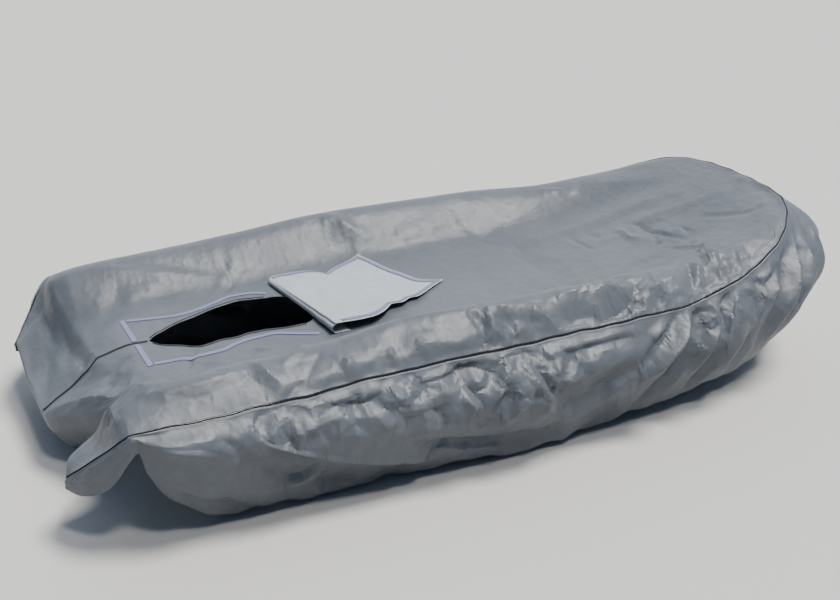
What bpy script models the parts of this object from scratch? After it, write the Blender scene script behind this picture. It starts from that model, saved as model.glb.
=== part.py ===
"""Fitted cover for an inflatable dinghy, draped as it lies on the boat.

One top panel with an open hatch, two side skirts drawn in under the hull, piping in the seam between
them, a zip that is closed down the stern and open along the hatch, hook-and-loop strips round the hatch
and a flap thrown back.
Lengths are in metres, +X points to the bow, +Y to port and +Z up. Tables measure x from the transom
and z from the seam's height there.
"""

from collections import namedtuple

import bmesh
import bpy
import numpy as np
from mathutils import Vector
from mathutils.bvhtree import BVHTree

# ---- Outline of the seam between the top panel and the skirts ----
HALF_WIDTH = 0.650  # centreline to seam along the straight sides
STRAIGHT = 1.055  # transom to where the bow starts to draw in
BOW = 1.458  # length of the bow's curve
BLUNTNESS = 3.4  # exponent of the bow's outline: 2 is an ellipse, more is squarer
SLEEVE = 0.160  # how far the sleeves for the tube cones reach aft of the transom
SLEEVE_TAPER = 0.150  # how far the seam draws in along a sleeve
SLEEVE_DROP = 0.165  # how far the seam falls along a sleeve
SIDE_RISE = 0.030  # sheer along the sides
SIDE_RISE_LENGTH = 1.2
BOW_RISE = 0.202  # sheer at the bow
BOW_RISE_START = 1.70
FRONT_HALF = 0.55  # half the seam across the front edge of the top panel's grid
JOIN = 0.36  # seam length from the bow's centre to where the skirts join, to starboard
JOIN_GATHER = 0.035  # seam length without piping, where the cloth is gathered at the join

# ---- Cloth and trim ----
CLOTH = 0.0020  # thickness of the coated cloth
TRIM = 0.0014  # thickness of the hook-and-loop strip
GAP = 0.0004  # between neighbouring pieces
SEAT = 0.0006  # under a strip that lies on cloth
PIPING_RADIUS = 0.0032
PIPING_GAP = 0.0009
STRIP_WIDTH = 0.018
ZIP_WIDTH = 0.010
ZIP_THICKNESS = 0.0024
FLAP_CLOTH = 0.0016

# ---- The row's origin, just under the middle of the top ----
ORIGIN_X = 1.250
ORIGIN_CLEAR = 0.003  # from the origin up to the cloth's middle surface

# ---- Sections of the top panel ----
Section = namedtuple("Section", "x crown_z crown_inset mid_z")
SECTIONS = [
    Section(-0.160, -0.156, 0.040, -0.205),
    Section(-0.100, -0.110, 0.075, -0.165),
    Section(-0.060, -0.075, 0.100, -0.138),
    Section(-0.020, 0.018, 0.125, -0.108),
    Section(0.036, 0.049, 0.140, -0.072),
    Section(0.150, 0.068, 0.140, -0.030),
    Section(0.500, 0.086, 0.130, -0.025),
    Section(1.100, 0.126, 0.120, 0.000),
    Section(1.600, 0.126, 0.120, 0.012),
    Section(1.900, 0.118, 0.120, 0.045),
    Section(2.200, 0.148, 0.110, 0.125),
    Section(2.400, 0.198, 0.090, 0.198),
    Section(2.513, 0.233, 0.050, 0.233),
]
CROWN_FALL = 0.230  # from a tube's crown inboard to the flat middle
STERN_LENGTH = 0.42  # seam length with closer rows, for the sleeve's notch
STERN_STEPS = 13
SIDE_STEPS = 50
ACROSS = (0, 0.11, 0.22, 0.33, 0.45, 0.57, 0.68, 0.77, 0.85, 0.91, 0.96, 1)  # columns, centre to seam

# ---- The stern edge, where the top panel turns down behind the transom ----
SternPoint = namedtuple("SternPoint", "y x drop tuck")
STERN_EDGE = [
    SternPoint(-0.500, -0.160, 0.016, 0.012),
    SternPoint(-0.440, -0.140, 0.080, 0.010),
    SternPoint(-0.350, 0.020, 0.120, 0.020),
    SternPoint(-0.200, -0.060, 0.120, 0.060),
    SternPoint(-0.030, -0.152, 0.122, 0.060),
    SternPoint(0.200, -0.156, 0.150, 0.060),
    SternPoint(0.400, -0.160, 0.128, 0.034),
    SternPoint(0.500, -0.160, 0.016, 0.012),
]
STERN_ROWS = (1.0, 0.5)  # fractions of the drop at the rows below the edge

# ---- Folds, each a soft ridge (or a trough, below zero) along a line of points ----
Fold = namedtuple("Fold", "height width line")
TOP_FOLDS = [  # points are x, y
    Fold(-0.018, 0.070, [(1.66, 0.24), (1.60, -0.05), (1.46, -0.46), (1.34, -0.58)]),
    Fold(0.013, 0.060, [(1.65, 0.18), (1.83, 0.17), (2.09, 0.15), (2.37, 0.04)]),
    Fold(0.018, 0.055, [(1.25, 0.37), (1.37, 0.40), (1.51, 0.43), (1.62, 0.46)]),
    Fold(0.018, 0.050, [(1.02, -0.50), (1.20, -0.55), (1.40, -0.58)]),
    Fold(0.021, 0.050, [(0.02, -0.50), (0.08, -0.55), (0.22, -0.56), (0.36, -0.54)]),
    Fold(0.023, 0.045, [(0.38, -0.57), (0.60, -0.60), (0.80, -0.60), (1.07, -0.59)]),
    Fold(-0.017, 0.045, [(0.20, 0.44), (0.43, 0.36), (0.60, 0.26)]),
    Fold(-0.016, 0.045, [(0.31, -0.22), (0.27, -0.30), (0.19, -0.52)]),
    Fold(0.013, 0.040, [(0.03, 0.40), (0.02, 0.20), (0.03, -0.15)]),
    Fold(-0.019, 0.055, [(2.05, 0.05), (2.02, -0.20), (2.04, -0.35), (2.00, -0.54)]),
    Fold(-0.016, 0.050, [(0.70, -0.32), (0.92, -0.38), (1.10, -0.34)]),
    Fold(0.016, 0.050, [(0.95, -0.46), (1.10, -0.42), (1.30, -0.45)]),
    Fold(-0.018, 0.050, [(0.55, 0.50), (0.80, 0.44), (1.05, 0.50)]),
    Fold(0.016, 0.050, [(1.75, -0.20), (1.90, -0.42), (2.10, -0.50)]),
]
SKIRT_FOLDS = [  # points are distance along the seam, fraction of the way down
    Fold(0.038, 0.036, [(0.33, 0.14), (0.41, 0.14), (0.53, 0.19), (0.65, 0.24), (0.74, 0.34)]),
    Fold(0.043, 0.036, [(0.66, 0.26), (0.74, 0.35), (0.86, 0.45), (0.99, 0.55), (1.12, 0.53)]),
    Fold(-0.035, 0.036, [(0.40, 0.26), (0.65, 0.38), (0.80, 0.50), (0.93, 0.62), (1.10, 0.72)]),
    Fold(-0.024, 0.036, [(0.58, 0.10), (0.65, 0.16), (0.75, 0.22), (0.92, 0.36), (1.05, 0.42)]),
    Fold(-0.030, 0.036, [(1.12, 0.53), (1.15, 0.44), (1.29, 0.50), (1.43, 0.56), (1.59, 0.63)]),
    Fold(0.024, 0.036, [(1.08, 0.68), (1.16, 0.60), (1.26, 0.60), (1.40, 0.67)]),
    Fold(-0.027, 0.036, [(1.56, 0.64), (1.72, 0.54), (1.82, 0.43), (1.90, 0.38)]),
    Fold(0.024, 0.040, [(0.73, 0.14), (0.74, 0.28)]),
    Fold(-0.024, 0.040, [(0.86, 0.12), (0.98, 0.26), (1.06, 0.30)]),
    Fold(0.027, 0.040, [(1.14, 0.10), (1.26, 0.24), (1.34, 0.42)]),
    Fold(-0.024, 0.040, [(1.30, 0.10), (1.46, 0.26), (1.52, 0.40)]),
    Fold(0.027, 0.036, [(1.46, 0.08), (1.54, 0.22), (1.61, 0.42)]),
    Fold(-0.024, 0.036, [(1.62, 0.14), (1.70, 0.26), (1.72, 0.42)]),
    Fold(0.039, 0.045, [(2.00, 0.06), (1.97, 0.28), (1.86, 0.36), (1.75, 0.47)]),
    Fold(-0.032, 0.038, [(2.15, 0.06), (2.12, 0.15), (2.03, 0.30), (1.95, 0.45), (1.88, 0.62)]),
    Fold(0.030, 0.038, [(2.22, 0.14), (2.15, 0.32), (2.09, 0.43)]),
    Fold(-0.030, 0.038, [(2.29, 0.08), (2.20, 0.32), (2.14, 0.48), (2.07, 0.60)]),
    Fold(0.028, 0.042, [(2.38, 0.08), (2.30, 0.26), (2.27, 0.46), (2.22, 0.66)]),
    Fold(-0.028, 0.040, [(2.46, 0.08), (2.40, 0.28), (2.37, 0.52)]),
    Fold(0.030, 0.042, [(2.56, 0.08), (2.48, 0.30), (2.45, 0.60)]),
    Fold(-0.034, 0.038, [(2.68, 0.06), (2.60, 0.18), (2.54, 0.36), (2.52, 0.60)]),
    Fold(0.030, 0.042, [(2.78, 0.08), (2.70, 0.24), (2.64, 0.50)]),
    Fold(-0.025, 0.040, [(2.88, 0.10), (2.82, 0.30), (2.76, 0.60)]),
    Fold(0.025, 0.042, [(3.00, 0.08), (2.92, 0.34), (2.88, 0.66)]),
    Fold(-0.023, 0.042, [(3.12, 0.10), (3.06, 0.34), (3.04, 0.60)]),
]
SKIRT_DEPTH = 0.42  # cloth from seam to hem that the folds' fractions stand for
FOLD_START = 0.20  # fraction of the way down by which the folds have their full height
FOLD_SHIFT = 0.13  # how far along the seam the hidden port side's folds are moved on
HEM_WAVES = ((0.008, 0.31, 0.4), (0.006, 0.173, 1.9), (0.005, 0.108, 4.1))  # height, length, phase

# ---- The hatch, a slit along the centreline with its lips drawn apart ----
Lip = namedtuple("Lip", "x starboard port")
LIPS = [
    Lip(0.198, 0.000, 0.000),
    Lip(0.265, 0.050, 0.058),
    Lip(0.340, 0.085, 0.105),
    Lip(0.470, 0.092, 0.160),
    Lip(0.550, 0.080, 0.180),
    Lip(0.690, 0.100, 0.150),
    Lip(0.790, 0.000, 0.000),
]
LIP_REACH = 0.320  # how far from the centreline the cloth is drawn aside

# ---- Profile of the skirts, by distance along the seam from a sleeve's tip ----
Skirt = namedtuple("Skirt", "along reach reach_drop low_out low_z tuck lift")
SKIRT = [
    Skirt(0.000, 0.010, 0.015, 0.004, -0.203, 0.020, 0.006),
    Skirt(0.060, 0.014, 0.030, 0.010, -0.204, 0.045, 0.008),
    Skirt(0.120, 0.018, 0.035, 0.012, -0.192, 0.045, 0.006),
    Skirt(0.180, 0.016, 0.030, 0.008, -0.168, 0.035, 0.004),
    Skirt(0.225, 0.012, 0.020, 0.006, -0.130, 0.020, 0.002),
    Skirt(0.266, 0.010, 0.014, 0.006, -0.076, 0.010, 0.000),
    Skirt(0.290, 0.010, 0.014, 0.004, -0.052, 0.006, 0.000),
    Skirt(0.310, 0.014, 0.026, 0.000, -0.120, 0.015, 0.000),
    Skirt(0.360, 0.026, 0.060, -0.014, -0.215, 0.045, 0.005),
    Skirt(0.410, 0.032, 0.075, -0.032, -0.266, 0.070, 0.005),
    Skirt(0.500, 0.036, 0.090, -0.045, -0.328, 0.090, 0.005),
    Skirt(0.900, 0.036, 0.110, -0.055, -0.350, 0.090, 0.010),
    Skirt(1.150, 0.034, 0.125, -0.045, -0.346, 0.100, 0.010),
    Skirt(1.500, 0.034, 0.135, -0.035, -0.350, 0.100, 0.010),
    Skirt(2.000, 0.042, 0.135, -0.036, -0.318, 0.100, 0.010),
    Skirt(2.400, 0.078, 0.130, -0.022, -0.288, 0.100, -0.010),
    Skirt(2.600, 0.108, 0.125, -0.030, -0.285, 0.100, -0.030),
    Skirt(2.750, 0.132, 0.112, -0.044, -0.256, 0.100, -0.030),
    Skirt(2.950, 0.176, 0.100, -0.030, -0.200, 0.110, -0.040),
    Skirt(3.200, 0.198, 0.090, -0.018, -0.190, 0.120, -0.040),
]
DOWN = (0, 0.08, 0.17, 0.27, 0.37, 0.47, 0.57, 0.67, 0.78, 0.89, 1)  # rows, seam to hem

# ---- The flap, thrown back over the top with its underside up ----
FlapPoint = namedtuple("FlapPoint", "x y")
FLAP_FOLD = [FlapPoint(0.734, -0.238), FlapPoint(0.715, 0.020), FlapPoint(0.690, 0.262)]
FLAP_NEAR = [
    FlapPoint(0.734, -0.238),
    FlapPoint(0.885, -0.250),
    FlapPoint(1.067, -0.160),
    FlapPoint(1.244, -0.012),
]
FLAP_FAR = [
    FlapPoint(0.690, 0.262),
    FlapPoint(0.770, 0.260),
    FlapPoint(0.840, 0.240),
    FlapPoint(0.900, 0.246),
    FlapPoint(0.980, 0.307),
    FlapPoint(1.077, 0.387),
]
FLAP_FREE = [
    FlapPoint(1.244, -0.012),
    FlapPoint(1.165, 0.100),
    FlapPoint(1.110, 0.230),
    FlapPoint(1.077, 0.387),
]
FLAP_UNDER = 0.060  # how far the lower ply runs forward under the fold
FLAP_SEAT = 0.0016  # under the flap's lower ply
FLAP_LIFT = 0.0030  # under the flap's upper ply where it lies flat
ROLL_NEAR = 0.015  # radius of the fold at the flap's near end
ROLL_FAR = 0.006
# Shares of the flap's width and length at its grid's lines; the second and third from an edge bound a strip.
FLAP_ACROSS = (0, 0.010, 0.046, 0.14, 0.24, 0.35, 0.45, 0.55, 0.65, 0.76, 0.86, 0.954, 0.990, 1)
FLAP_ALONG = (0, 0.07, 0.15, 0.23, 0.31, 0.39, 0.47, 0.55, 0.63, 0.71, 0.80, 0.88, 0.960, 0.991, 1)

# ---- Hook-and-loop strips round the hatch ----
StripPoint = namedtuple("StripPoint", "x y")
STRIP_STARBOARD = [
    StripPoint(0.172, -0.177),
    StripPoint(0.301, -0.185),
    StripPoint(0.386, -0.178),
    StripPoint(0.437, -0.152),
    StripPoint(0.493, -0.134),
    StripPoint(0.562, -0.130),
    StripPoint(0.631, -0.165),
    StripPoint(0.700, -0.208),
]
STRIP_PORT = [
    StripPoint(0.168, 0.190),
    StripPoint(0.242, 0.171),
    StripPoint(0.326, 0.158),
    StripPoint(0.410, 0.178),
    StripPoint(0.474, 0.208),
    StripPoint(0.538, 0.236),
    StripPoint(0.608, 0.228),
    StripPoint(0.656, 0.196),
]
STRIP_AFT_PORT = [StripPoint(0.156, 0.012), StripPoint(0.154, 0.200)]
STRIP_AFT_STARBOARD = [StripPoint(0.160, -0.187), StripPoint(0.157, -0.012)]
STRIP_STEP = 0.022

# ---- The open part of the zip, one half on each side of the hatch ----
ZIP_HALF_WIDTH = 0.006
ZIP_HALF_THICKNESS = 0.0016
ZIP_HALF_STARBOARD = [
    StripPoint(0.204, -0.022),
    StripPoint(0.250, -0.066),
    StripPoint(0.322, -0.112),
    StripPoint(0.360, -0.124),
    StripPoint(0.407, -0.124),
    StripPoint(0.467, -0.108),
    StripPoint(0.540, -0.090),
    StripPoint(0.690, -0.112),
]
ZIP_HALF_PORT = [
    StripPoint(0.204, 0.022),
    StripPoint(0.265, 0.070),
    StripPoint(0.340, 0.117),
    StripPoint(0.470, 0.172),
    StripPoint(0.550, 0.192),
    StripPoint(0.640, 0.178),
]


# ---- Curves ----
def through(places, values, at):
    """Smooth curve through a table's rows that never overshoots them."""
    places = np.asarray(places, float)
    values = np.asarray(values, float)
    at = np.asarray(at, float)
    steps = np.diff(values) / np.diff(places)
    slopes = np.concatenate([steps[:1], np.zeros(len(values) - 2), steps[-1:]])
    product = steps[:-1] * steps[1:]
    turning = product > 0
    slopes[1:-1][turning] = 2 * product[turning] / (steps[:-1] + steps[1:])[turning]
    i = np.clip(np.searchsorted(places, at) - 1, 0, len(places) - 2)
    width = places[i + 1] - places[i]
    t = np.clip((at - places[i]) / width, 0, 1)
    ends = (2 * t**3 - 3 * t**2 + 1) * values[i] + (3 * t**2 - 2 * t**3) * values[i + 1]
    return ends + width * ((t**3 - 2 * t**2 + t) * slopes[i] + (t**3 - t**2) * slopes[i + 1])


def column(rows, name, at):
    """One named column of a table, read at places in its first column."""
    return through([row[0] for row in rows], [getattr(row, name) for row in rows], at)


def ease(t):
    """0 to 1 with level ends."""
    t = np.clip(t, 0, 1)
    return t * t * (3 - 2 * t)


def route(points, fractions):
    """Plan points at fractions along a line of table points."""
    line = np.array([tuple(point) for point in points], float)
    lengths = np.concatenate([[0], np.cumsum(np.linalg.norm(np.diff(line, axis=0), axis=1))])
    at = np.asarray(fractions) * lengths[-1]
    return np.stack([through(lengths, line[:, 0], at), through(lengths, line[:, 1], at)], axis=-1)


def run_of(points, step):
    """Plan points about a step apart along a line of table points."""
    line = np.array([tuple(point) for point in points], float)
    length = np.linalg.norm(np.diff(line, axis=0), axis=1).sum()
    return route(points, np.linspace(0, 1, max(2, int(np.ceil(length / step)) + 1)))


def fold_heights(table, a, b):
    """Sum of a table's folds at points, each fading out towards the ends of its line."""
    total = np.zeros(np.broadcast(a, b).shape)
    for fold in table:
        line = np.array(fold.line, float)
        lengths = np.linalg.norm(np.diff(line, axis=0), axis=1)
        starts = np.concatenate([[0], np.cumsum(lengths)])
        nearest = np.full(total.shape, np.inf)
        share = np.zeros(total.shape)
        for start, end, length, before in zip(line, line[1:], lengths, starts):
            run = (end - start) / length
            t = np.clip((a - start[0]) * run[0] + (b - start[1]) * run[1], 0, length)
            away = (a - start[0] - t * run[0]) ** 2 + (b - start[1] - t * run[1]) ** 2
            closer = away < nearest
            nearest = np.where(closer, away, nearest)
            share = np.where(closer, (before + t) / starts[-1], share)
        fade = 0.15 + 0.85 * np.sin(np.pi * share) ** 0.7
        total += fold.height * np.exp(-nearest / fold.width**2) * fade
    return total


# ---- The seam ----
def seam_half_width(x):
    aft = np.clip(-x / SLEEVE, 0, 1)
    bow = np.clip((x - STRAIGHT) / BOW, 0, 1)
    return HALF_WIDTH * (1 - bow**BLUNTNESS) ** (1 / BLUNTNESS) - SLEEVE_TAPER * aft**1.4


def seam_height(x):
    aft = np.clip(-x / SLEEVE, 0, 1)
    bow = np.clip((x - BOW_RISE_START) / (STRAIGHT + BOW - BOW_RISE_START), 0, 1)
    return SIDE_RISE * ease(x / SIDE_RISE_LENGTH) + BOW_RISE * bow**2 - SLEEVE_DROP * aft**1.2


def half_seam():
    """Plan points of half the seam, from a sleeve's tip to the bow's centre, and distances along it."""
    turn = np.linspace(0, np.pi / 2, 600)
    sleeve = np.linspace(-SLEEVE, 0, 40)[:-1]
    bow = STRAIGHT + BOW * np.sin(turn) ** (2 / BLUNTNESS)
    x = np.concatenate([sleeve, [0.0], bow])
    points = np.stack([x, seam_half_width(x), seam_height(x)], axis=-1)
    lengths = np.concatenate([[0], np.cumsum(np.linalg.norm(np.diff(points, axis=0), axis=1))])
    return points, lengths


SEAM_POINTS, SEAM_LENGTHS = half_seam()
HALF_SEAM = SEAM_LENGTHS[-1]


def seam_at(along):
    """Seam points at distances from the starboard sleeve's tip, round the bow to the port sleeve's."""
    along = np.asarray(along, float)
    half = np.where(along <= HALF_SEAM, along, 2 * HALF_SEAM - along)
    side = np.where(along <= HALF_SEAM, -1.0, 1.0)
    x = np.interp(half, SEAM_LENGTHS, SEAM_POINTS[:, 0])
    y = side * np.interp(half, SEAM_LENGTHS, SEAM_POINTS[:, 1])
    return np.stack([x, y, seam_height(x)], axis=-1)


def seam_outward(along):
    """Level directions away from the boat, square to the seam."""
    step = 0.03
    ahead = seam_at(np.minimum(along + step, 2 * HALF_SEAM))
    behind = seam_at(np.maximum(along - step, 0))
    run = (ahead - behind)[..., :2]
    run /= np.linalg.norm(run, axis=-1, keepdims=True)
    return np.stack([run[..., 1], -run[..., 0], np.zeros(run.shape[:-1])], axis=-1)


# ---- The top panel ----
def top_height(x, y):
    """Height of the top cloth over a point of the plan."""
    inset = np.maximum(seam_half_width(x) - np.abs(y), 0)
    edge = seam_height(x)
    crown = column(SECTIONS, "crown_z", x)
    crown_inset = column(SECTIONS, "crown_inset", x)
    middle = column(SECTIONS, "mid_z", x)
    rise = edge + (crown - edge) * np.sin(np.pi / 2 * np.clip(inset / crown_inset, 0, 1))
    fall = middle + (crown - middle) * (1 - ease((inset - crown_inset) / CROWN_FALL))
    height = np.where(inset < crown_inset, rise, fall)
    return height + ease(inset / 0.03) * fold_heights(TOP_FOLDS, x, y)


def spread(x, y, side):
    """Plan y of cloth that the open hatch draws aside."""
    lip = np.where(
        (x > LIPS[0].x) & (x < LIPS[-1].x),
        column(LIPS, "port" if side > 0 else "starboard", x),
        0.0,
    )
    out = np.abs(y)
    return side * np.where(out < LIP_REACH, lip + out * (1 - lip / LIP_REACH), out)


def origin():
    return np.array([ORIGIN_X, 0, float(top_height(ORIGIN_X, 0.0)) - ORIGIN_CLEAR])


def grid_along():
    """Seam distances of the top panel's rows, and of its front edge's columns."""
    stern = np.linspace(0, STERN_LENGTH, STERN_STEPS + 1)
    side = np.linspace(STERN_LENGTH, HALF_SEAM - FRONT_HALF, SIDE_STEPS + 1)
    rows = np.concatenate([stern, side[1:]])
    front = np.linspace(HALF_SEAM - FRONT_HALF, HALF_SEAM + FRONT_HALF, 2 * len(ACROSS) - 1)
    return rows, front


def top_grid():
    """Points of the top panel's grid: rows from the stern's hem to the bow, columns from starboard."""
    across = np.array([-a for a in ACROSS[:0:-1]] + list(ACROSS))
    rows, front = grid_along()
    share = (rows / rows[-1])[:, None]
    starboard = seam_at(rows)[:, None, :2]
    port = starboard * (1, -1)
    plan = starboard + (port - starboard) * ((across + 1) / 2)[None, :, None]
    stern_y = across * STERN_EDGE[-1].y
    stern_x = column(STERN_EDGE, "x", stern_y) - STERN_EDGE[0].x
    plan[..., 0] += (1 - ease(share / 0.2)) * stern_x
    bulge = seam_at(front)[:, :2] - plan[-1]
    plan += (np.clip((share - 0.55) / 0.45, 0, 1) ** 2)[..., None] * bulge
    height = top_height(plan[..., 0], plan[..., 1])
    grid = np.concatenate([plan, height[..., None]], axis=-1)
    hems = []
    for part in STERN_ROWS:
        hem = grid[0].copy()
        hem[:, 0] += part**2 * column(STERN_EDGE, "tuck", stern_y)
        hem[:, 2] -= part * column(STERN_EDGE, "drop", stern_y)
        hems.append(hem)
    return np.concatenate([np.array(hems), grid])


def draw_in_edge(grid):
    """Moves the outer columns and the front row off the piping."""
    rows, front = grid_along()
    rings = [
        (slice(len(STERN_ROWS), None), 0, rows),
        (slice(len(STERN_ROWS), None), -1, 2 * HALF_SEAM - rows),
        (-1, slice(1, -1), front[1:-1]),
    ]
    for row, col, along in rings:
        out = seam_outward(along)
        x = grid[row, col, 0]
        rise = column(SECTIONS, "crown_z", x) - seam_height(x)
        slope = np.pi / 2 * rise / column(SECTIONS, "crown_inset", x)
        inset = edge_clear(along) / np.sqrt(1 + slope**2)
        grid[row, col] -= out * inset[:, None]
        grid[row, col, 2] += inset * slope
    return grid


def edge_clear(along):
    """Distance from the seam line to a cloth edge: the piping's radius, or almost none at the join."""
    at_join = np.abs(along - (HALF_SEAM - JOIN)) < JOIN_GATHER
    return np.where(at_join, CLOTH / 2 + GAP, PIPING_RADIUS + PIPING_GAP)


# ---- The skirts ----
SCALED_FOLDS = [
    fold._replace(line=[(along, down * SKIRT_DEPTH) for along, down in fold.line]) for fold in SKIRT_FOLDS
]


def skirt_points(along, down):
    """Skirt points for a run of seam distances (one axis) and fractions of the way down (the other)."""
    seam = seam_at(along)
    out = seam_outward(along)
    half = np.where(along <= HALF_SEAM, along, 2 * HALF_SEAM - along)
    row = {name: column(SKIRT, name, half) for name in Skirt._fields[1:]}
    knots_out = np.stack([0 * half, row["reach"], row["low_out"], row["low_out"] - row["tuck"]], axis=-1)
    low = row["low_z"] - seam[:, 2]
    knots_z = np.stack([0 * half, -row["reach_drop"], low, low + row["lift"]], axis=-1)
    points = np.empty((len(along), len(down), 3))
    for i in range(len(along)):
        chords = np.hypot(np.diff(knots_out[i]), np.diff(knots_z[i]))
        places = np.concatenate([[0], np.cumsum(chords)])
        start = edge_clear(along[i : i + 1])[0]
        at = start + np.asarray(down) * (places[-1] - start)
        shift = through(places, knots_out[i], at)
        points[i] = seam[i] + shift[:, None] * out[i]
        points[i, :, 2] += through(places, knots_z[i], at)
    down = np.asarray(down)[None, :]
    place = np.where(along <= HALF_SEAM, along, half + FOLD_SHIFT)[:, None] + 0 * down
    fold = ease(down / FOLD_START) * fold_heights(SCALED_FOLDS, place, down * SKIRT_DEPTH)
    points += fold[..., None] * out[:, None]
    wave = sum(height * np.sin(2 * np.pi * along / length + phase) for height, length, phase in HEM_WAVES)
    points[..., 2] += (wave * ease((half - 0.38) / 0.2))[:, None] * ease((down - 0.5) / 0.5)
    return points


# ---- Building ----
def clear_scene():
    for thing in list(bpy.data.objects):
        bpy.data.objects.remove(thing)


def material(name, colour, roughness, metallic=0.0):
    made = bpy.data.materials.new(name)
    made.use_nodes = True
    shader = made.node_tree.nodes["Principled BSDF"]
    shader.inputs["Base Color"].default_value = (*colour, 1)
    shader.inputs["Roughness"].default_value = roughness
    shader.inputs["Metallic"].default_value = metallic
    return made


def add_object(name, mesh, finish, collection):
    thing = bpy.data.objects.new(name, mesh)
    thing.data.materials.append(finish)
    collection.objects.link(thing)
    return thing


def sheet(name, grids, thickness, finish, collection):
    """One sheet from grids of points that share edges, thickened about its middle surface."""
    shape = bmesh.new()
    for grid in grids:
        verts = [[shape.verts.new(point) for point in line] for line in grid - origin()]
        for near, far in zip(verts, verts[1:]):
            for a, b, c, d in zip(near, near[1:], far[1:], far):
                shape.faces.new((a, b, c, d))
    bmesh.ops.remove_doubles(shape, verts=shape.verts, dist=0.00002)
    bmesh.ops.recalc_face_normals(shape, faces=shape.faces)
    mesh = bpy.data.meshes.new(name)
    shape.to_mesh(mesh)
    shape.free()
    mesh.shade_smooth()
    thing = add_object(name, mesh, finish, collection)
    shell = thing.modifiers.new("thickness", "SOLIDIFY")
    shell.thickness = thickness
    shell.offset = 0
    return thing


def tube(name, points, radius, finish, collection):
    curve = bpy.data.curves.new(name, "CURVE")
    curve.dimensions = "3D"
    line = curve.splines.new("POLY")
    line.points.add(len(points) - 1)
    for spot, point in zip(line.points, points - origin()):
        spot.co = (*point, 1)
    curve.bevel_depth = radius
    curve.bevel_resolution = 1
    curve.use_fill_caps = True
    return add_object(name, curve, finish, collection)


def cloth_under(thing):
    """A finder of the upper surface of an object, with its normal, over a point of the plan."""
    tree = BVHTree.FromObject(thing, bpy.context.evaluated_depsgraph_get())
    shift = origin()

    def find(x, y):
        spot, normal, _, _ = tree.ray_cast(Vector((x - shift[0], y, 1)), Vector((0, 0, -1)))
        if spot is None:  # over the open hatch
            return np.array((x, y, float(top_height(x, y)))), np.array((0, 0, 1))
        return np.array(spot) + shift, np.array(normal)

    return find


def lay(find, plan, lift):
    """Points a little off the cloth under them, for a grid of plan points."""
    points = np.empty((*plan.shape[:2], 3))
    for i, line in enumerate(plan):
        for j, (x, y) in enumerate(line):
            spot, normal = find(x, y)
            points[i, j] = spot + lift * normal
    return points


def beside(line, distance):
    """A line of plan points moved sideways, to its left where the distance is above zero."""
    run = np.gradient(line, axis=0)
    run /= np.linalg.norm(run, axis=1, keepdims=True)
    return line + distance * np.stack([-run[:, 1], run[:, 0]], axis=1)


def ribbon(line, width):
    """Plan grid of a strip of even width along a line of plan points."""
    return np.stack([beside(line, -width / 2), beside(line, width / 2)], axis=1)


def build_top(finish, collection):
    grid = draw_in_edge(top_grid())
    middle = len(ACROSS) - 1
    halves = []
    for side, part in ((-1, grid[:, : middle + 1]), (1, grid[:, middle:])):
        half = part.copy()
        rows = slice(len(STERN_ROWS), None)
        x = half[rows, :, 0]
        y = spread(x, half[rows, :, 1], side)
        inside = np.abs(half[rows, :, 1]) < LIP_REACH
        half[rows, :, 1] = np.where(inside, y, half[rows, :, 1])
        half[rows, :, 2] = np.where(inside, top_height(x, y), half[rows, :, 2])
        halves.append(half)
    return sheet("top_panel", halves, CLOTH, finish, collection)


def build_skirt(name, along, finish, collection):
    return sheet(name, [skirt_points(along, DOWN)], CLOTH, finish, collection)


def build_strip(name, find, line, width, thickness, finish, collection):
    points = lay(find, ribbon(line, width), SEAT + thickness / 2)
    return sheet(name, [points], thickness, finish, collection)


def flap_grid(find):
    """Rows across the flap from its hidden lower edge, round the fold, to its free edge."""
    share = np.array(FLAP_ACROSS)
    fold = route(FLAP_FOLD, share)
    near = route(FLAP_NEAR, FLAP_ALONG)
    far = route(FLAP_FAR, FLAP_ALONG)
    free = route(FLAP_FREE, share)
    along = np.array(FLAP_ALONG)[:, None, None]
    across = share[None, :, None]
    corners = (1 - along) * ((1 - across) * fold[0] + across * fold[-1])
    corners = corners + along * ((1 - across) * free[0] + across * free[-1])
    plan = (1 - along) * fold + along * free + (1 - across) * near[:, None] + across * far[:, None] - corners
    roll = ROLL_NEAR + (ROLL_FAR - ROLL_NEAR) * share
    seat = FLAP_SEAT + FLAP_CLOTH / 2
    upper = []
    for part, line in zip(FLAP_ALONG[1:], plan[1:]):
        lift = seat + FLAP_LIFT + 2 * roll * (1 - ease(part))
        upper.append([(x, y, find(x, y)[0][2] + up) for (x, y), up in zip(line, lift)])
    forward = plan[1] - plan[0]
    forward /= np.linalg.norm(forward, axis=1, keepdims=True)
    under = []
    for back in (FLAP_UNDER, 0.5 * FLAP_UNDER):
        under.append([(x, y, find(x, y)[0][2] + seat) for x, y in plan[0] + forward * back])
    base = np.array([find(x, y)[0][2] + seat for x, y in plan[0] + forward * roll[:, None]])
    for turn in np.radians((-90, -135, -180, -225, -265)):
        spots = plan[0] + forward * (roll * (1 + np.cos(turn)))[:, None]
        height = base + roll * (1 + np.sin(turn))
        under.append(np.column_stack([spots, height]))
    return np.concatenate([np.array(under), np.array(upper)])


def flap_strips(flap):
    """Grids of the strips sewn along the flap's near, far and free edges, on its lines of points."""
    upper = flap[-len(FLAP_ALONG) + 1 :]
    grids = {
        "near": upper[1:-3, 1:3],
        "far": upper[1:-3, -3:-1],
        "free": upper[-3:-1, 1:-1],
    }
    rise = FLAP_CLOTH / 2 + SEAT + TRIM / 2
    return {name: grid + np.array((0, 0, rise)) for name, grid in grids.items()}


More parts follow.
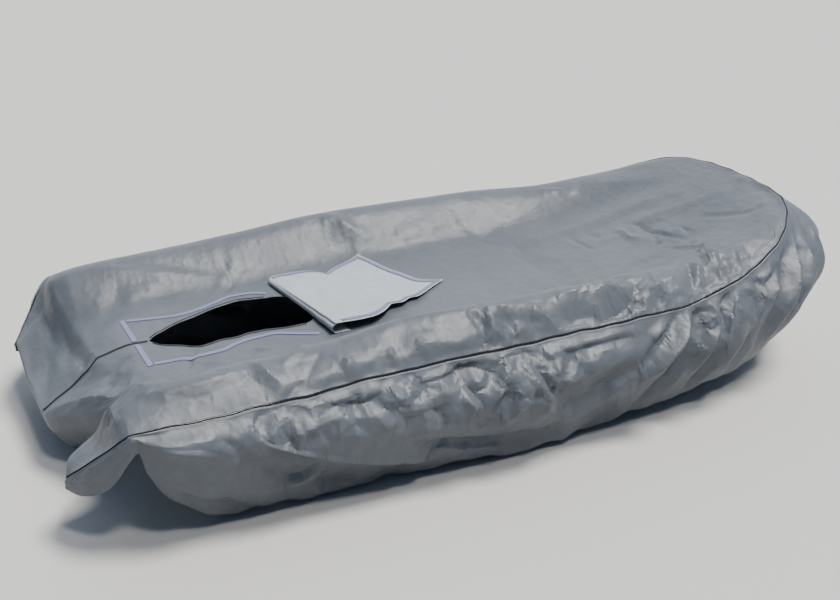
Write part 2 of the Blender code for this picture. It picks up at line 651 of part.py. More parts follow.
def build():
    clear_scene()
    cover = bpy.data.collections.new("boat_cover")
    bpy.context.scene.collection.children.link(cover)
    cloth = material("coated_cloth", (0.245, 0.275, 0.310), 0.48)
    lining = material("coated_underside", (0.470, 0.500, 0.530), 0.38)
    bound = material("black_piping", (0.020, 0.022, 0.028), 0.60)
    teeth = material("black_zip", (0.012, 0.013, 0.016), 0.42)
    lilac = material("lilac_hook_strip", (0.330, 0.330, 0.500), 0.80)

    top = build_top(cloth, cover)
    rows, front = grid_along()
    around = np.concatenate([rows, front[1:-1], (2 * HALF_SEAM - rows)[::-1]])
    join = int(np.argmin(np.abs(around - (HALF_SEAM - JOIN))))
    starboard = around[: join + 1].copy()
    starboard[-1] -= GAP
    build_skirt("skirt_starboard", starboard, cloth, cover)
    build_skirt("skirt_port", around[join:], cloth, cover)
    piped = np.abs(around - around[join]) >= JOIN_GATHER
    before = around[piped & (around < around[join])]
    after = around[piped & (around > around[join])]
    tube("piping_starboard", seam_at(before), PIPING_RADIUS, bound, cover)
    tube("piping_port", seam_at(after), PIPING_RADIUS, bound, cover)

    find = cloth_under(top)
    stern = float(column(STERN_EDGE, "x", 0.0))
    closed = [StripPoint(stern + 0.004, 0.0), StripPoint(LIPS[0].x - 0.004, 0.0)]
    build_strip("centre_zip", find, run_of(closed, 0.013), ZIP_WIDTH, ZIP_THICKNESS, teeth, cover)
    halves = {"starboard": ZIP_HALF_STARBOARD, "port": ZIP_HALF_PORT}
    for side, points in halves.items():
        line = run_of(points, STRIP_STEP)
        build_strip("zip_half_" + side, find, line, ZIP_HALF_WIDTH, ZIP_HALF_THICKNESS, teeth, cover)
    strips = {
        "starboard": STRIP_STARBOARD,
        "port": STRIP_PORT,
        "aft_starboard": STRIP_AFT_STARBOARD,
        "aft_port": STRIP_AFT_PORT,
    }
    for place, points in strips.items():
        line = run_of(points, STRIP_STEP)
        build_strip("hook_strip_" + place, find, line, STRIP_WIDTH, TRIM, lilac, cover)

    flap = flap_grid(find)
    sheet("hatch_flap", [flap], FLAP_CLOTH, lining, cover)
    for edge, grid in flap_strips(flap).items():
        sheet("flap_strip_" + edge, [grid], TRIM, lilac, cover)
    return cover


build()
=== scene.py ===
import math
from collections import namedtuple

import bmesh
import bpy
import numpy as np
from mathutils import Matrix, Vector
from mathutils.bvhtree import BVHTree
from mathutils.kdtree import KDTree


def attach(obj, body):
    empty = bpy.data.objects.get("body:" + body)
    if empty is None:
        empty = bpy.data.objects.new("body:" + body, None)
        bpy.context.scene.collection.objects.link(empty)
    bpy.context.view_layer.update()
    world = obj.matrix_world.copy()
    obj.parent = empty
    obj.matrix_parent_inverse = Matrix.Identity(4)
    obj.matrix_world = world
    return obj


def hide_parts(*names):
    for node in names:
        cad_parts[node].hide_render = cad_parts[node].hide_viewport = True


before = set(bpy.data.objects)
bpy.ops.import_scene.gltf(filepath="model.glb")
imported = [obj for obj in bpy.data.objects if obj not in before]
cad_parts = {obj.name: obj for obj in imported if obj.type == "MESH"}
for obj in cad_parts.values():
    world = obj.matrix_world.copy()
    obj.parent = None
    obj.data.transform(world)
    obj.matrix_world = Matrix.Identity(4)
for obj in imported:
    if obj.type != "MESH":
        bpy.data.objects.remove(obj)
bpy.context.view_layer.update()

# Lengths are in metres, and x is measured from the transom, y to port and z from the seam's height there.
ORIGIN = np.array((1.250, 0.0, 0.00059))

# ---- Outline of the seam ----
HALF_WIDTH = 0.650
STRAIGHT = 1.055
BOW = 1.458
BLUNTNESS = 3.4
SLEEVE = 0.160
SLEEVE_TAPER = 0.150
TAPER_POWER = 1.4
SLEEVE_DROP = 0.165
DROP_POWER = 1.2
SIDE_RISE = 0.030
SIDE_RISE_LENGTH = 1.2
BOW_RISE = 0.202
BOW_RISE_START = 1.70
FRONT_HALF = 0.55
JOIN = 0.36
JOIN_GATHER = 0.035

# ---- Cloth and trim ----
CLOTH = 0.0014
TAPE = 0.0012
FLAP_CLOTH = 0.0012
PIPING_RADIUS = 0.0022
CORD_SIDES = 8
EDGE_CLEAR = 0.0032
STRIP_WIDTH = 0.018
SKIRT_DEPTH = 0.42
ZIP_WIDTH = 0.008
ZIP_THICKNESS = 0.0022
ZIP_HALF_WIDTH = 0.004
ZIP_HALF_THICKNESS = 0.0014
STITCH_LINE = 0.007  # from the skirt's upper edge

# ---- How the cloth creases and crumples ----
FLANK = 1.7  # length of a crease's flank, in widths
CREST_RADIUS = 0.0022
FOOT_SOFTNESS = 0.006
NOISE_WAVES = 14
EDGE_FADE = 0.03
WANDER_REACH = 0.025
SEAM_STRAY_OUT = ((0.0016, 0.041, 1), (0.0012, 0.017, 0), (0.0015, 0.097, 0))  # height, length, phase
SEAM_STRAY_UP = ((0.0018, 0.052, 2), (0.0010, 0.019, 1), (0.0020, 0.130, 0))
Facets = namedtuple("Facets", "size seed turn stretch")
TopCrumple = namedtuple("TopCrumple", "facets everywhere near rim loose")
TOP_CRUMPLES = (
    TopCrumple(Facets(0.13, 81, 0.4, 1.7), 0.006, 0.014, 0.090, 2.0),
    TopCrumple(Facets(0.036, 82, 0.9, 1.4), 0.0, 0.003, 0.010, 1.6),
)
RIM = 0.06  # the strip of the top that crumples most, in from the seam
RIM_START = 0.30
FAR_RIM = 0.15
SKIRT_LARGE = Facets(0.075, 61, 0.5, 1.5)
SKIRT_SMALL = Facets(0.032, 62, -0.3, 1.3)
CRUMPLE_START = 0.58
CRUMPLE_END = 1.45
CRUMPLE_FOOT = ((0.5, 0.9, 1.2, 1.6, 2.0), (0.12, 0.22, 0.32, 0.40, 0.40))  # along, fraction of the way down
BOW_CRUMPLE_START = 1.7

# ---- Buckling, for a coarse copy of a grid and then for the grid ----
COARSE_STEP = 3
LEAST_SLACK = 0.003  # how much longer the cloth is than its shape
HOLD = (0.005, 0.006)
STIFF = (0.030, 0.035)
DIAGONAL = 0.5  # a diagonal link's stiffness beside a side link's
FINE_START = 0.3  # how much of the starting unevenness is added again for the fine grid
ROUNDS = ((150, 100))
TOP_CRISP = 16  # degrees between faces that meet in a sharp edge
SKIRT_CRISP = 13
CRISP_TO = 0.12  # how far to port the top's sharp edges go

# ---- Floor, sky and camera ----
FLOOR_SIZE = 14.0
FLOOR_GAP = 0.004
BRIGHT_SKY = (0.30, 0.88, 0.36)
SKY_STOPS = (
    (0.0, (0.06, 0.09, 0.15)),
    (0.50, (0.06, 0.10, 0.16)),
    (0.88, (0.72, 0.79, 0.90)),
    (1.0, (1.0, 1.04, 1.08)),
)
CAMERA_PLACE = (-1.7116, -3.4379, 1.5157)
FOCAL = 1166.77  # in pixels
PHOTO_WIDTH = 840
SENSOR = 36

# ---- Tables, in whole millimetres ----
def metres(kind, rows):
    """Rows of whole millimetres as named rows of metres."""
    return [kind(*(value / 1000 for value in row)) for row in rows]


Crease = namedtuple("Crease", "height left right line")


def creases(rows):
    """Ridges, or troughs below zero: height, widths to the left and right, and then the line's points."""
    return [
        Crease(height / 1000, left / 1000, right / 1000, [(a / 1000, b / 1000) for a, b in line])
        for height, left, right, *line in rows
    ]


Section = namedtuple("Section", "x crown_z crown_inset mid_z")
SECTIONS = metres(Section, (
    (-160, -156, 40, -205),
    (-100, -110, 75, -165),
    (-60, -75, 100, -138),
    (-20, 18, 125, -108),
    (36, 49, 140, -72),
    (150, 68, 140, -30),
    (500, 86, 130, -25),
    (1100, 126, 120, 0),
    (1600, 126, 120, 12),
    (1900, 118, 120, 45),
    (2200, 148, 110, 125),
    (2400, 198, 90, 198),
    (2513, 233, 50, 233),
))
CROWN_FALL = 0.230

SternPoint = namedtuple("SternPoint", "y x drop tuck")
STERN_EDGE = metres(SternPoint, (
    (-500, -160, 16, 12),
    (-440, -140, 80, 10),
    (-350, 20, 120, 20),
    (-200, -60, 120, 60),
    (-30, -152, 122, 60),
    (200, -156, 150, 60),
    (400, -160, 128, 34),
    (500, -160, 16, 12),
))

Lip = namedtuple("Lip", "x starboard port")
LIPS = metres(Lip, (
    (198, 0, 0), (225, 42, 32), (255, 62, 52), (290, 82, 78), (318, 104, 96), (340, 112, 106),
    (370, 106, 118), (407, 96, 136), (454, 98, 160), (505, 84, 176), (550, 86, 186), (590, 94, 176),
    (632, 104, 166), (690, 108, 150), (790, 0, 0),
))
LIP_REACH = 0.320

Skirt = namedtuple("Skirt", "along reach reach_drop low_out low_z tuck lift")
SKIRT = metres(Skirt, (
    (0, 10, 15, 4, -203, 20, 6),
    (60, 14, 30, 10, -204, 45, 8),
    (120, 18, 35, 12, -192, 45, 6),
    (180, 16, 30, 8, -168, 35, 4),
    (225, 12, 20, 6, -130, 20, 2),
    (266, 10, 14, 6, -76, 10, 0),
    (290, 10, 14, 4, -52, 6, 0),
    (310, 14, 26, 0, -120, 15, 0),
    (360, 38, 54, -14, -215, 45, 5),
    (410, 48, 68, -32, -266, 70, 5),
    (500, 58, 86, -45, -328, 90, 5),
    (900, 66, 108, -55, -350, 90, 10),
    (1150, 78, 108, -45, -346, 100, 10),
    (1500, 78, 110, -35, -350, 100, 10),
    (2000, 66, 114, -36, -318, 100, 10),
    (2400, 78, 130, -22, -288, 100, -10),
    (2600, 102, 150, -30, -285, 100, -30),
    (2750, 124, 164, -44, -256, 100, -30),
    (2950, 166, 164, -30, -225, 110, -40),
    (3200, 194, 142, -18, -218, 120, -40),
))
HEM_WAVE_START = 0.38
HEM_WAVES = ((0.008, 0.31, 0.4), (0.006, 0.173, 1.9), (0.005, 0.108, 4.1))  # height, length, phase

TOP_CREASES = creases((  # points are x, y
    # the stern's fall and the ridge over the transom
    (16, 70, 20, (-20, 580), (-10, 420), (14, 290), (27, 90), (36, -20), (50, -100)),
    (-12, 14, 30, (-40, 530), (-38, 420), (-20, 350), (-7, 190), (2, 90), (16, -10)),
    (-11, 30, 22, (-40, 410), (-70, 340), (-105, 190), (-135, 30)),
    (-8, 20, 16, (-10, 310), (-33, 200), (-70, 120)),
    (8, 14, 18, (0, 120), (-20, 70), (-10, 20), (10, 0)),
    (26, 40, 24, (-150, -20), (-80, -110), (-10, -220), (40, -340), (60, -460), (90, -540)),
    (-18, 20, 30, (-100, -170), (-30, -270), (-10, -330), (-20, -420)),
    (-10, 14, 20, (70, -130), (40, -180), (10, -210), (-20, -200)),
    (-6, 10, 12, (120, -70), (66, -105), (30, -120)),
    (8, 22, 22, (130, -140), (85, -240), (40, -400), (30, -470)),
    # the near crest and the facets between it and the seam
    (15, 40, 16, (50, -530), (120, -563), (220, -566), (320, -554), (360, -530)),
    (-7, 20, 24, (340, -530), (360, -570), (420, -640)),
    (8, 22, 24, (380, -520), (410, -580), (450, -640)),
    (13, 30, 16, (380, -630), (490, -615), (610, -628), (630, -615), (650, -612), (750, -632)),
    (13, 26, 14, (740, -634), (770, -612), (820, -630), (873, -612), (985, -628), (1070, -615),
        (1130, -620)),
    (10, 10, 12, (630, -600), (650, -630), (667, -645)),
    (9, 10, 10, (766, -600), (782, -643)),
    (9, 10, 10, (860, -600), (888, -640)),
    (-9, 12, 12, (1060, -550), (1075, -596), (1086, -636)),
    (9, 12, 12, (1100, -570), (1120, -610), (1130, -640)),
    (-9, 10, 12, (1150, -578), (1167, -604), (1185, -632)),
    (14, 12, 16, (1060, -540), (1160, -566), (1305, -590), (1345, -605)),
    (14, 12, 18, (1260, -585), (1300, -618), (1325, -640)),
    (-16, 16, 18, (1340, -615), (1420, -612), (1490, -616)),
    (-18, 22, 16, (1470, -640), (1530, -622), (1610, -598), (1690, -600)),
    (-10, 12, 12, (1700, -612), (1750, -596)),
    (10, 20, 20, (1360, -570), (1490, -552), (1600, -571)),
    (-8, 12, 14, (1540, -515), (1565, -570), (1615, -595)),
    (9, 12, 12, (1740, -555), (1750, -590), (1757, -620)),
    (8, 12, 12, (1955, -500), (1920, -560), (1900, -605)),
    (-7, 10, 10, (1930, -490), (1890, -555), (1867, -598)),
    (12, 14, 14, (2120, -270), (2085, -350), (2006, -490), (1985, -550)),
    (10, 14, 12, (2090, -350), (2020, -500), (2000, -590)),
    (-8, 12, 12, (2100, -310), (2050, -420), (2000, -520)),
    (7, 12, 14, (450, -570), (530, -510), (600, -380), (670, -260)),
    (-10, 30, 30, (420, -500), (500, -460), (580, -340)),
    # the long creases and the slack patch forward of the flap
    (10, 50, 30, (650, -525), (850, -505), (1030, -546), (1100, -552)),
    (12, 30, 16, (1140, 372), (1250, 368), (1275, 385), (1380, 389), (1510, 418)),
    (-12, 50, 16, (1505, 415), (1566, 320), (1640, 160), (1602, 70), (1606, -60), (1587, -210),
        (1595, -270)),
    (-9, 20, 40, (1200, -400), (1350, -360), (1520, -280), (1595, -265)),
    (6, 14, 14, (1585, -270), (1640, -274), (1715, -284)),
    (11, 70, 22, (1640, 165), (1740, 163), (1995, 145), (2160, 121), (2330, 55)),
    (7, 50, 26, (1800, -20), (2090, 11), (2250, -30), (2420, -100)),
    (-5, 10, 14, (2235, -153), (2328, -288), (2412, -315)),
    (6, 50, 40, (2050, 450), (2200, 340), (2330, 200)),
    (-5, 8, 10, (1830, 100), (1831, 7), (1836, -70)),
    (-5, 10, 10, (1890, 100), (1908, 31), (1995, -24)),
    (-6, 10, 10, (2024, 51), (2064, -20), (2063, -90), (2079, -157), (2110, -260)),
    (6, 10, 10, (1995, 10), (1985, -70), (2018, -120)),
    (-5, 8, 8, (1997, -205), (2055, -143)),
    (-5, 8, 10, (2150, -145), (2144, -216)),
    (6, 10, 10, (2050, -250), (2060, -380)),
    # the far side
    (12, 24, 20, (980, 500), (1040, 476), (1086, 423), (1150, 381)),
    (9, 16, 16, (970, 400), (1054, 444), (1090, 410)),
    (-14, 40, 40, (900, 460), (1000, 400), (1060, 360)),
    (10, 16, 20, (1900, 455), (2010, 400), (2070, 450)),
    (6, 12, 10, (180, 336), (290, 365), (345, 390)),
    (9, 16, 22, (145, 470), (340, 410), (570, 346)),
    (-8, 20, 16, (190, 490), (380, 438), (580, 380)),
    (-6, 10, 12, (600, 319), (638, 324), (700, 323)),
    (-6, 10, 10, (530, 290), (585, 332)),
    (7, 14, 14, (490, 270), (540, 330), (620, 420)),
    (-9, 30, 30, (80, 200), (160, 340), (200, 440)),
    # about the hatch
    (-7, 8, 12, (317, -130), (273, -219), (250, -275)),
    (-6, 10, 10, (444, -253), (483, -224), (520, -252)),
    (-12, 35, 30, (316, -240), (283, -320), (240, -400), (190, -500)),
    (-9, 30, 40, (770, -300), (880, -310), (1000, -240)),
))
SKIRT_CREASES = creases((  # points are distance along the seam, thousandths of the way down
    # the fold that hangs over the recessed cloth near the stern
    (34, 50, 45, (540, 50), (590, 90), (627, 140), (660, 190), (730, 270), (820, 355), (915, 420),
        (1067, 520), (1140, 570)),
    (-46, 50, 24, (560, 260), (673, 345), (787, 410), (957, 530), (1103, 640), (1160, 680)),
    (-22, 10, 26, (600, 90), (640, 150), (680, 205), (723, 245), (792, 310), (888, 370), (984, 430),
        (1050, 460)),
    (18, 50, 30, (300, 200), (340, 140), (440, 100), (494, 100), (558, 150)),
    (7, 14, 8, (343, 190), (444, 190), (554, 310)),
    (-6, 10, 14, (450, 230), (520, 260)),
    (-9, 12, 12, (494, 80), (526, 150), (604, 360)),
    (-7, 14, 12, (600, 390), (630, 385), (687, 460), (746, 470), (780, 440)),
    (-18, 24, 12, (390, 610), (508, 560), (636, 750)),
    (-11, 24, 34, (440, 260), (577, 420), (650, 510), (800, 600)),
    (18, 18, 14, (690, 550), (746, 530), (800, 480)),
    (-20, 20, 26, (800, 520), (830, 620), (920, 680)),
    # lobes between the fold and the seam
    (-20, 20, 20, (600, 100), (615, 70), (660, 15)),
    (22, 26, 22, (640, 170), (650, 120), (675, 60), (705, 20)),
    (14, 10, 14, (712, 240), (728, 170), (742, 140), (764, 140), (792, 115)),
    (-12, 16, 14, (742, 200), (800, 205), (840, 210)),
    (-9, 12, 12, (796, 100), (865, 80), (902, 100), (935, 80)),
    (14, 30, 18, (742, 145), (830, 150), (930, 190), (1000, 200)),
    (16, 16, 20, (800, 50), (920, 50), (1020, 70), (1100, 40)),
    (-14, 12, 14, (930, 140), (970, 100), (990, 70), (1020, 50)),
    (13, 12, 12, (990, 160), (1030, 110), (1060, 130), (1100, 90)),
    (-14, 12, 12, (1030, 180), (1060, 150), (1100, 160), (1130, 120), (1170, 140)),
    # the second fold, further forward
    (18, 26, 50, (1000, 330), (1150, 390), (1260, 430), (1370, 470), (1480, 500), (1600, 560)),
    (-40, 46, 24, (1040, 410), (1154, 455), (1259, 490), (1369, 530), (1479, 560), (1561, 590),
        (1640, 660)),
    (28, 30, 18, (1050, 540), (1100, 530), (1150, 520), (1190, 520), (1254, 570), (1332, 600),
        (1420, 630)),
    (-14, 12, 12, (1120, 560), (1160, 510), (1200, 460)),
    (-18, 20, 10, (1120, 85), (1200, 80), (1250, 70), (1320, 50), (1370, 20)),
    (14, 10, 16, (1080, 50), (1180, 45), (1280, 30)),
    (-16, 16, 14, (1218, 90), (1222, 140), (1250, 180), (1286, 210), (1318, 190), (1355, 140),
        (1380, 70)),
    (13, 13, 13, (1234, 150), (1242, 210), (1268, 320)),
    (20, 22, 22, (1280, 350), (1323, 280), (1364, 190), (1390, 90)),
    (-10, 12, 12, (1340, 330), (1380, 260), (1410, 180)),
    (20, 14, 35, (1360, 420), (1396, 370), (1442, 300), (1476, 190)),
    (12, 12, 10, (1445, 80), (1483, 220), (1533, 370)),
    (12, 10, 12, (1495, 60), (1515, 150), (1545, 280)),
    (-9, 10, 10, (1480, 100), (1505, 200), (1540, 320)),
    (11, 10, 13, (1550, 210), (1575, 130), (1600, 80)),
    (-12, 12, 14, (1560, 260), (1610, 170), (1640, 140)),
    (10, 13, 11, (1570, 320), (1600, 270), (1650, 250)),
    (10, 12, 10, (1580, 530), (1593, 470), (1630, 455)),
    (18, 14, 22, (1530, 45), (1640, 55), (1740, 50), (1840, 40), (1900, 30)),
    (-16, 18, 12, (1560, 100), (1660, 100), (1760, 95), (1860, 85)),
    (10, 10, 12, (1700, 150), (1730, 130), (1790, 130)),
    (-24, 26, 30, (1560, 420), (1650, 410), (1744, 370), (1804, 340), (1880, 310)),
    (20, 55, 16, (1755, 480), (1776, 410), (1826, 370), (1890, 360)),
    # the big slanting folds before the bow
    (18, 16, 14, (1930, 145), (1987, 80), (2025, 20)),
    (-24, 18, 22, (1870, 320), (1950, 220), (2000, 140), (2055, 20)),
    (40, 26, 26, (1870, 400), (1930, 345), (1985, 240), (2060, 140), (2100, 30)),
    (-44, 26, 26, (1900, 660), (1985, 480), (2030, 380), (2075, 260), (2135, 110), (2185, 20)),
    (12, 16, 22, (2150, 160), (2190, 120), (2220, 40)),
    (-12, 14, 20, (2120, 300), (2155, 220), (2195, 185)),
    (28, 14, 18, (2100, 480), (2129, 370), (2165, 260), (2208, 200)),
    (-32, 22, 18, (2110, 630), (2156, 530), (2187, 450), (2235, 390)),
    (-24, 12, 14, (2210, 300), (2238, 150), (2270, 70), (2330, 15)),
    (9, 18, 14, (2235, 280), (2265, 150), (2300, 80), (2350, 20)),
    (10, 12, 12, (2350, 10), (2385, 100), (2435, 200), (2460, 240)),
    (6, 10, 12, (2205, 340), (2250, 330)),
    (-13, 14, 16, (2360, 300), (2400, 160), (2421, 70), (2440, 15)),
    (12, 12, 12, (2430, 70), (2490, 60), (2530, 20)),
    (-10, 12, 10, (2440, 120), (2500, 120), (2550, 80)),
    (12, 12, 14, (2430, 190), (2500, 170), (2540, 130)),
    # the bow
    (-23, 16, 19, (2400, 520), (2472, 300), (2540, 180), (2600, 110), (2720, 20)),
    (19, 18, 16, (2460, 560), (2530, 340), (2600, 180), (2660, 100), (2750, 20)),
    (-19, 14, 14, (2520, 580), (2590, 340), (2660, 180), (2720, 100), (2800, 20)),
    (18, 16, 16, (2580, 600), (2650, 320), (2720, 180), (2780, 100), (2840, 30)),
    (-20, 14, 18, (2640, 620), (2700, 320), (2760, 180), (2820, 100), (2890, 40)),
    (16, 18, 16, (2720, 640), (2770, 340), (2820, 180), (2900, 80)),
    (-16, 18, 18, (2800, 620), (2830, 340), (2880, 180), (2960, 60)),
    (16, 21, 19, (2880, 620), (2920, 340), (2980, 100)),
    (-15, 24, 24, (2980, 600), (3020, 300), (3080, 80)),
    (15, 24, 24, (3060, 620), (3100, 340), (3140, 80)),
    # folds towards the hem
    (20, 40, 35, (1300, 660), (1550, 740), (1800, 660)),
    (-22, 40, 40, (1640, 800), (1780, 620), (1860, 520)),
    (18, 30, 30, (2220, 660), (2270, 460), (2330, 300)),
    (-20, 30, 30, (2300, 660), (2340, 480), (2380, 340)),
))
HANGING_CREASES = creases((  # how far a fold's crest hangs down over the cloth below it
    (26, 12, 50, (620, 150), (660, 190), (730, 270), (820, 355), (915, 420), (1067, 520), (1140, 570)),
    (20, 12, 46, (1050, 370), (1150, 400), (1260, 440), (1370, 480), (1480, 510), (1580, 560)),
))
LooseSpot = namedtuple("LooseSpot", "x y size more")
LOOSE_SPOTS = metres(LooseSpot, (
    (360, -570, 100, 20),
    (1580, -590, 150, 80),
    (1140, -610, 90, 60),
    (2030, -450, 150, 50),
    (2040, -100, 140, 30),
    (10, 30, 70, 60),
    (30, -200, 70, 60),
))
PORT_SHIFT = 0.13  # the hidden port side repeats the folds this much further on

# ---- Flap, strips and zip ----
Spot = namedtuple("Spot", "x y")
FLAP_FOLD = metres(Spot, (
    (734, -238), (715, 20), (690, 268),
))
FLAP_NEAR = metres(Spot, (
    (734, -238), (800, -243), (870, -240), (915, -222), (945, -196), (985, -160), (1010, -160),
    (1065, -128), (1085, -127), (1105, -116), (1170, -67), (1240, -18),
))
FLAP_FAR = metres(Spot, (
    (690, 268), (705, 296), (728, 306), (760, 306), (808, 300), (855, 284), (880, 256), (888, 236),
    (940, 278), (1002, 312), (1062, 340),
))
FLAP_FREE = metres(Spot, (
    (1240, -18), (1196, 0), (1160, 33), (1138, 96), (1115, 160), (1098, 230), (1082, 302), (1062, 340),
))
FLAP_UNDER = 0.060  # how far the flap runs on under its fold
FLAP_SEAT = 0.0018
FLAP_LIFT = 0.0032
ROLL_NEAR = 0.015
ROLL_FAR = 0.006
LAID_CLEAR = 0.0006
STRIP_STEP = 0.006
ZIP_END = 0.004
PIPING_TUCK = 0.006  # the port piping's stern end lies in and down by this much
PIPING_TUCK_FROM = 0.40
STRIP_STARBOARD = metres(Spot, (
    (172, -177), (301, -185), (386, -178), (437, -152), (493, -134), (562, -130), (631, -165),
    (700, -208),
))
STRIP_PORT = metres(Spot, (
    (168, 190), (242, 171), (326, 158), (410, 178), (474, 208), (538, 236), (608, 228), (656, 196),
))
STRIP_AFT_PORT = metres(Spot, (
    (156, 12), (154, 200),
))
STRIP_AFT_STARBOARD = metres(Spot, (
    (160, -187), (157, -12),
))
ZIP_HALF_STARBOARD = metres(Spot, (
    (206, -20), (225, -50), (255, -71), (290, -91), (318, -113), (340, -121), (370, -115), (407, -105),
    (454, -107), (505, -93), (550, -95), (590, -103), (632, -113), (690, -118),
))
ZIP_HALF_PORT = metres(Spot, (
    (206, 20), (225, 41), (255, 61), (290, 87), (340, 115), (407, 145), (454, 169), (505, 185),
    (550, 195), (590, 185), (640, 172),
))


# ---- Curves ----
def through(places, values, at):
    """Smooth curve through a table's rows that never overshoots them."""
    places = np.asarray(places, float)
    values = np.asarray(values, float)
    at = np.asarray(at, float)
    steps = np.diff(values) / np.diff(places)
    slopes = np.concatenate([steps[:1], np.zeros(len(values) - 2), steps[-1:]])
    product = steps[:-1] * steps[1:]
    turning = product > 0
    slopes[1:-1][turning] = 2 * product[turning] / (steps[:-1] + steps[1:])[turning]
    i = np.clip(np.searchsorted(places, at) - 1, 0, len(places) - 2)
    width = places[i + 1] - places[i]
    t = np.clip((at - places[i]) / width, 0, 1)
    ends = (2 * t**3 - 3 * t**2 + 1) * values[i] + (3 * t**2 - 2 * t**3) * values[i + 1]
    return ends + width * ((t**3 - 2 * t**2 + t) * slopes[i] + (t**3 - t**2) * slopes[i + 1])


def column(rows, name, at):
    return through([row[0] for row in rows], [getattr(row, name) for row in rows], at)


def ease(t):
    t = np.clip(t, 0, 1)
    return t * t * (3 - 2 * t)


def unit(vectors):
    return vectors / np.linalg.norm(vectors, axis=-1, keepdims=True)


def lengths_along(points, axis=0):
    """Distance of each point from the first of its line, in a line or in a grid of lines."""
    steps = np.linalg.norm(np.diff(points, axis=axis), axis=-1)
    return np.concatenate([np.zeros_like(steps.take([0], axis)), np.cumsum(steps, axis)], axis)


def route(points, fractions):
    line = np.array(points, float)
    lengths = lengths_along(line)
    at = np.asarray(fractions) * lengths[-1]
    return np.stack([through(lengths, line[:, 0], at), through(lengths, line[:, 1], at)], axis=-1)


def run_of(points, step):
    length = lengths_along(np.array(points, float))[-1]
    return route(points, np.linspace(0, 1, max(2, int(np.ceil(length / step)) + 1)))


def crease_heights(table, a, b):
    """Sum of a table's creases at points: flat flanks up to a tight crest that runs out at its ends."""
    total = np.zeros(np.broadcast(a, b).shape)
    for crease in table:
        line = np.array(crease.line, float)
        lengths = np.linalg.norm(np.diff(line, axis=0), axis=1)
        starts = np.concatenate([[0], np.cumsum(lengths)])
        nearest = np.full(total.shape, np.inf)
        share = np.zeros(total.shape)
        side = np.zeros(total.shape)
        for start, end, length, before in zip(line, line[1:], lengths, starts):
            run = (end - start) / length
            t = np.clip((a - start[0]) * run[0] + (b - start[1]) * run[1], 0, length)
            off_a = a - start[0] - t * run[0]
            off_b = b - start[1] - t * run[1]
            away = off_a**2 + off_b**2
            closer = away < nearest
            nearest = np.where(closer, away, nearest)
            share = np.where(closer, (before + t) / starts[-1], share)
            side = np.where(closer, run[0] * off_b - run[1] * off_a, side)
        width = np.where(side > 0, crease.left, crease.right)
        flank = 1 - (np.sqrt(nearest + CREST_RADIUS**2) - CREST_RADIUS) / (FLANK * width)
        fade = np.sin(np.pi * np.clip(share, 0, 1)) ** 0.6
        total += crease.height * (flank + np.sqrt(flank**2 + FOOT_SOFTNESS)) / 2 * fade
    return total


def smooth_noise(a, b, size, seed):
    """Seeded noise, mostly from -1 to 1, over two coordinates, with features of about one size."""
    random = np.random.default_rng(seed)
    total = np.zeros(np.broadcast(a, b).shape)
    for _ in range(NOISE_WAVES):
        turn, phase = random.uniform(0, 2 * np.pi, 2)
        wave = 2 * np.pi / size * random.uniform(0.6, 1.5)
        total += np.sin(wave * (np.cos(turn) * a + np.sin(turn) * b) + phase)
    return total / 4


def waves(at, table):
    return sum(height * np.sin(at / length + phase) for height, length, phase in table)


def nearest_squared(a, b, spots):
    best = np.full(a.shape, np.inf)
    for spot_a, spot_b in spots:
        best = np.minimum(best, (a - spot_a) ** 2 + (b - spot_b) ** 2)
    return best


def facets(a, b, size, seed, turn, stretch):
    """Seeded heights made of flat facets that meet in sharp creases, about size across.

    The difference of two squared distances to scattered spots is flat between the borders of their cells.
    Spots are searched a band at a time, with a margin on both sides.
    """
    random = np.random.default_rng(seed)
    run = (a * np.cos(turn) + b * np.sin(turn)) / stretch
    across = b * np.cos(turn) - a * np.sin(turn)
    heights = []
    for _ in range(2):
        rows = np.arange(run.min() - size, run.max() + size, size)
        cols = np.arange(across.min() - size, across.max() + size, size)
        spots = np.stack(np.meshgrid(rows, cols), axis=-1).reshape(-1, 2)
        spots = spots + random.uniform(-0.5, 0.5, spots.shape) * size
        total = np.full(run.shape, np.inf)
        band = ((run - run.min()) / (3 * size)).astype(int)
        for k in range(band.max() + 1):
            inside = band == k
            left = run.min() + 3 * size * k
            close = spots[(spots[:, 0] > left - 1.6 * size) & (spots[:, 0] < left + 4.6 * size)]
            total[inside] = nearest_squared(run[inside], across[inside], close)
        heights.append(total)
    return (heights[0] - heights[1]) / size


# ---- The seam ----
def seam_half_width(x):
    aft = np.clip(-x / SLEEVE, 0, 1)
    bow = np.clip((x - STRAIGHT) / BOW, 0, 1)
    return HALF_WIDTH * (1 - bow**BLUNTNESS) ** (1 / BLUNTNESS) - SLEEVE_TAPER * aft**TAPER_POWER


def seam_height(x):
    aft = np.clip(-x / SLEEVE, 0, 1)
    bow = np.clip((x - BOW_RISE_START) / (STRAIGHT + BOW - BOW_RISE_START), 0, 1)
    return SIDE_RISE * ease(x / SIDE_RISE_LENGTH) + BOW_RISE * bow**2 - SLEEVE_DROP * aft**DROP_POWER


def half_seam():
    """Points of the seam's starboard half, from the sleeve's end to the bow, and their distances along."""
    turn = np.linspace(0, np.pi / 2, 600)
    sleeve = np.linspace(-SLEEVE, 0, 40)[:-1]
    bow = STRAIGHT + BOW * np.sin(turn) ** (2 / BLUNTNESS)
    x = np.concatenate([sleeve, [0.0], bow])
    points = np.stack([x, seam_half_width(x), seam_height(x)], axis=-1)
    return points, lengths_along(points)


SEAM_POINTS, SEAM_LENGTHS = half_seam()
HALF_SEAM = SEAM_LENGTHS[-1]


def from_stern(along):
    """Distance from the nearer stern end of the seam."""
    return np.where(along <= HALF_SEAM, along, 2 * HALF_SEAM - along)


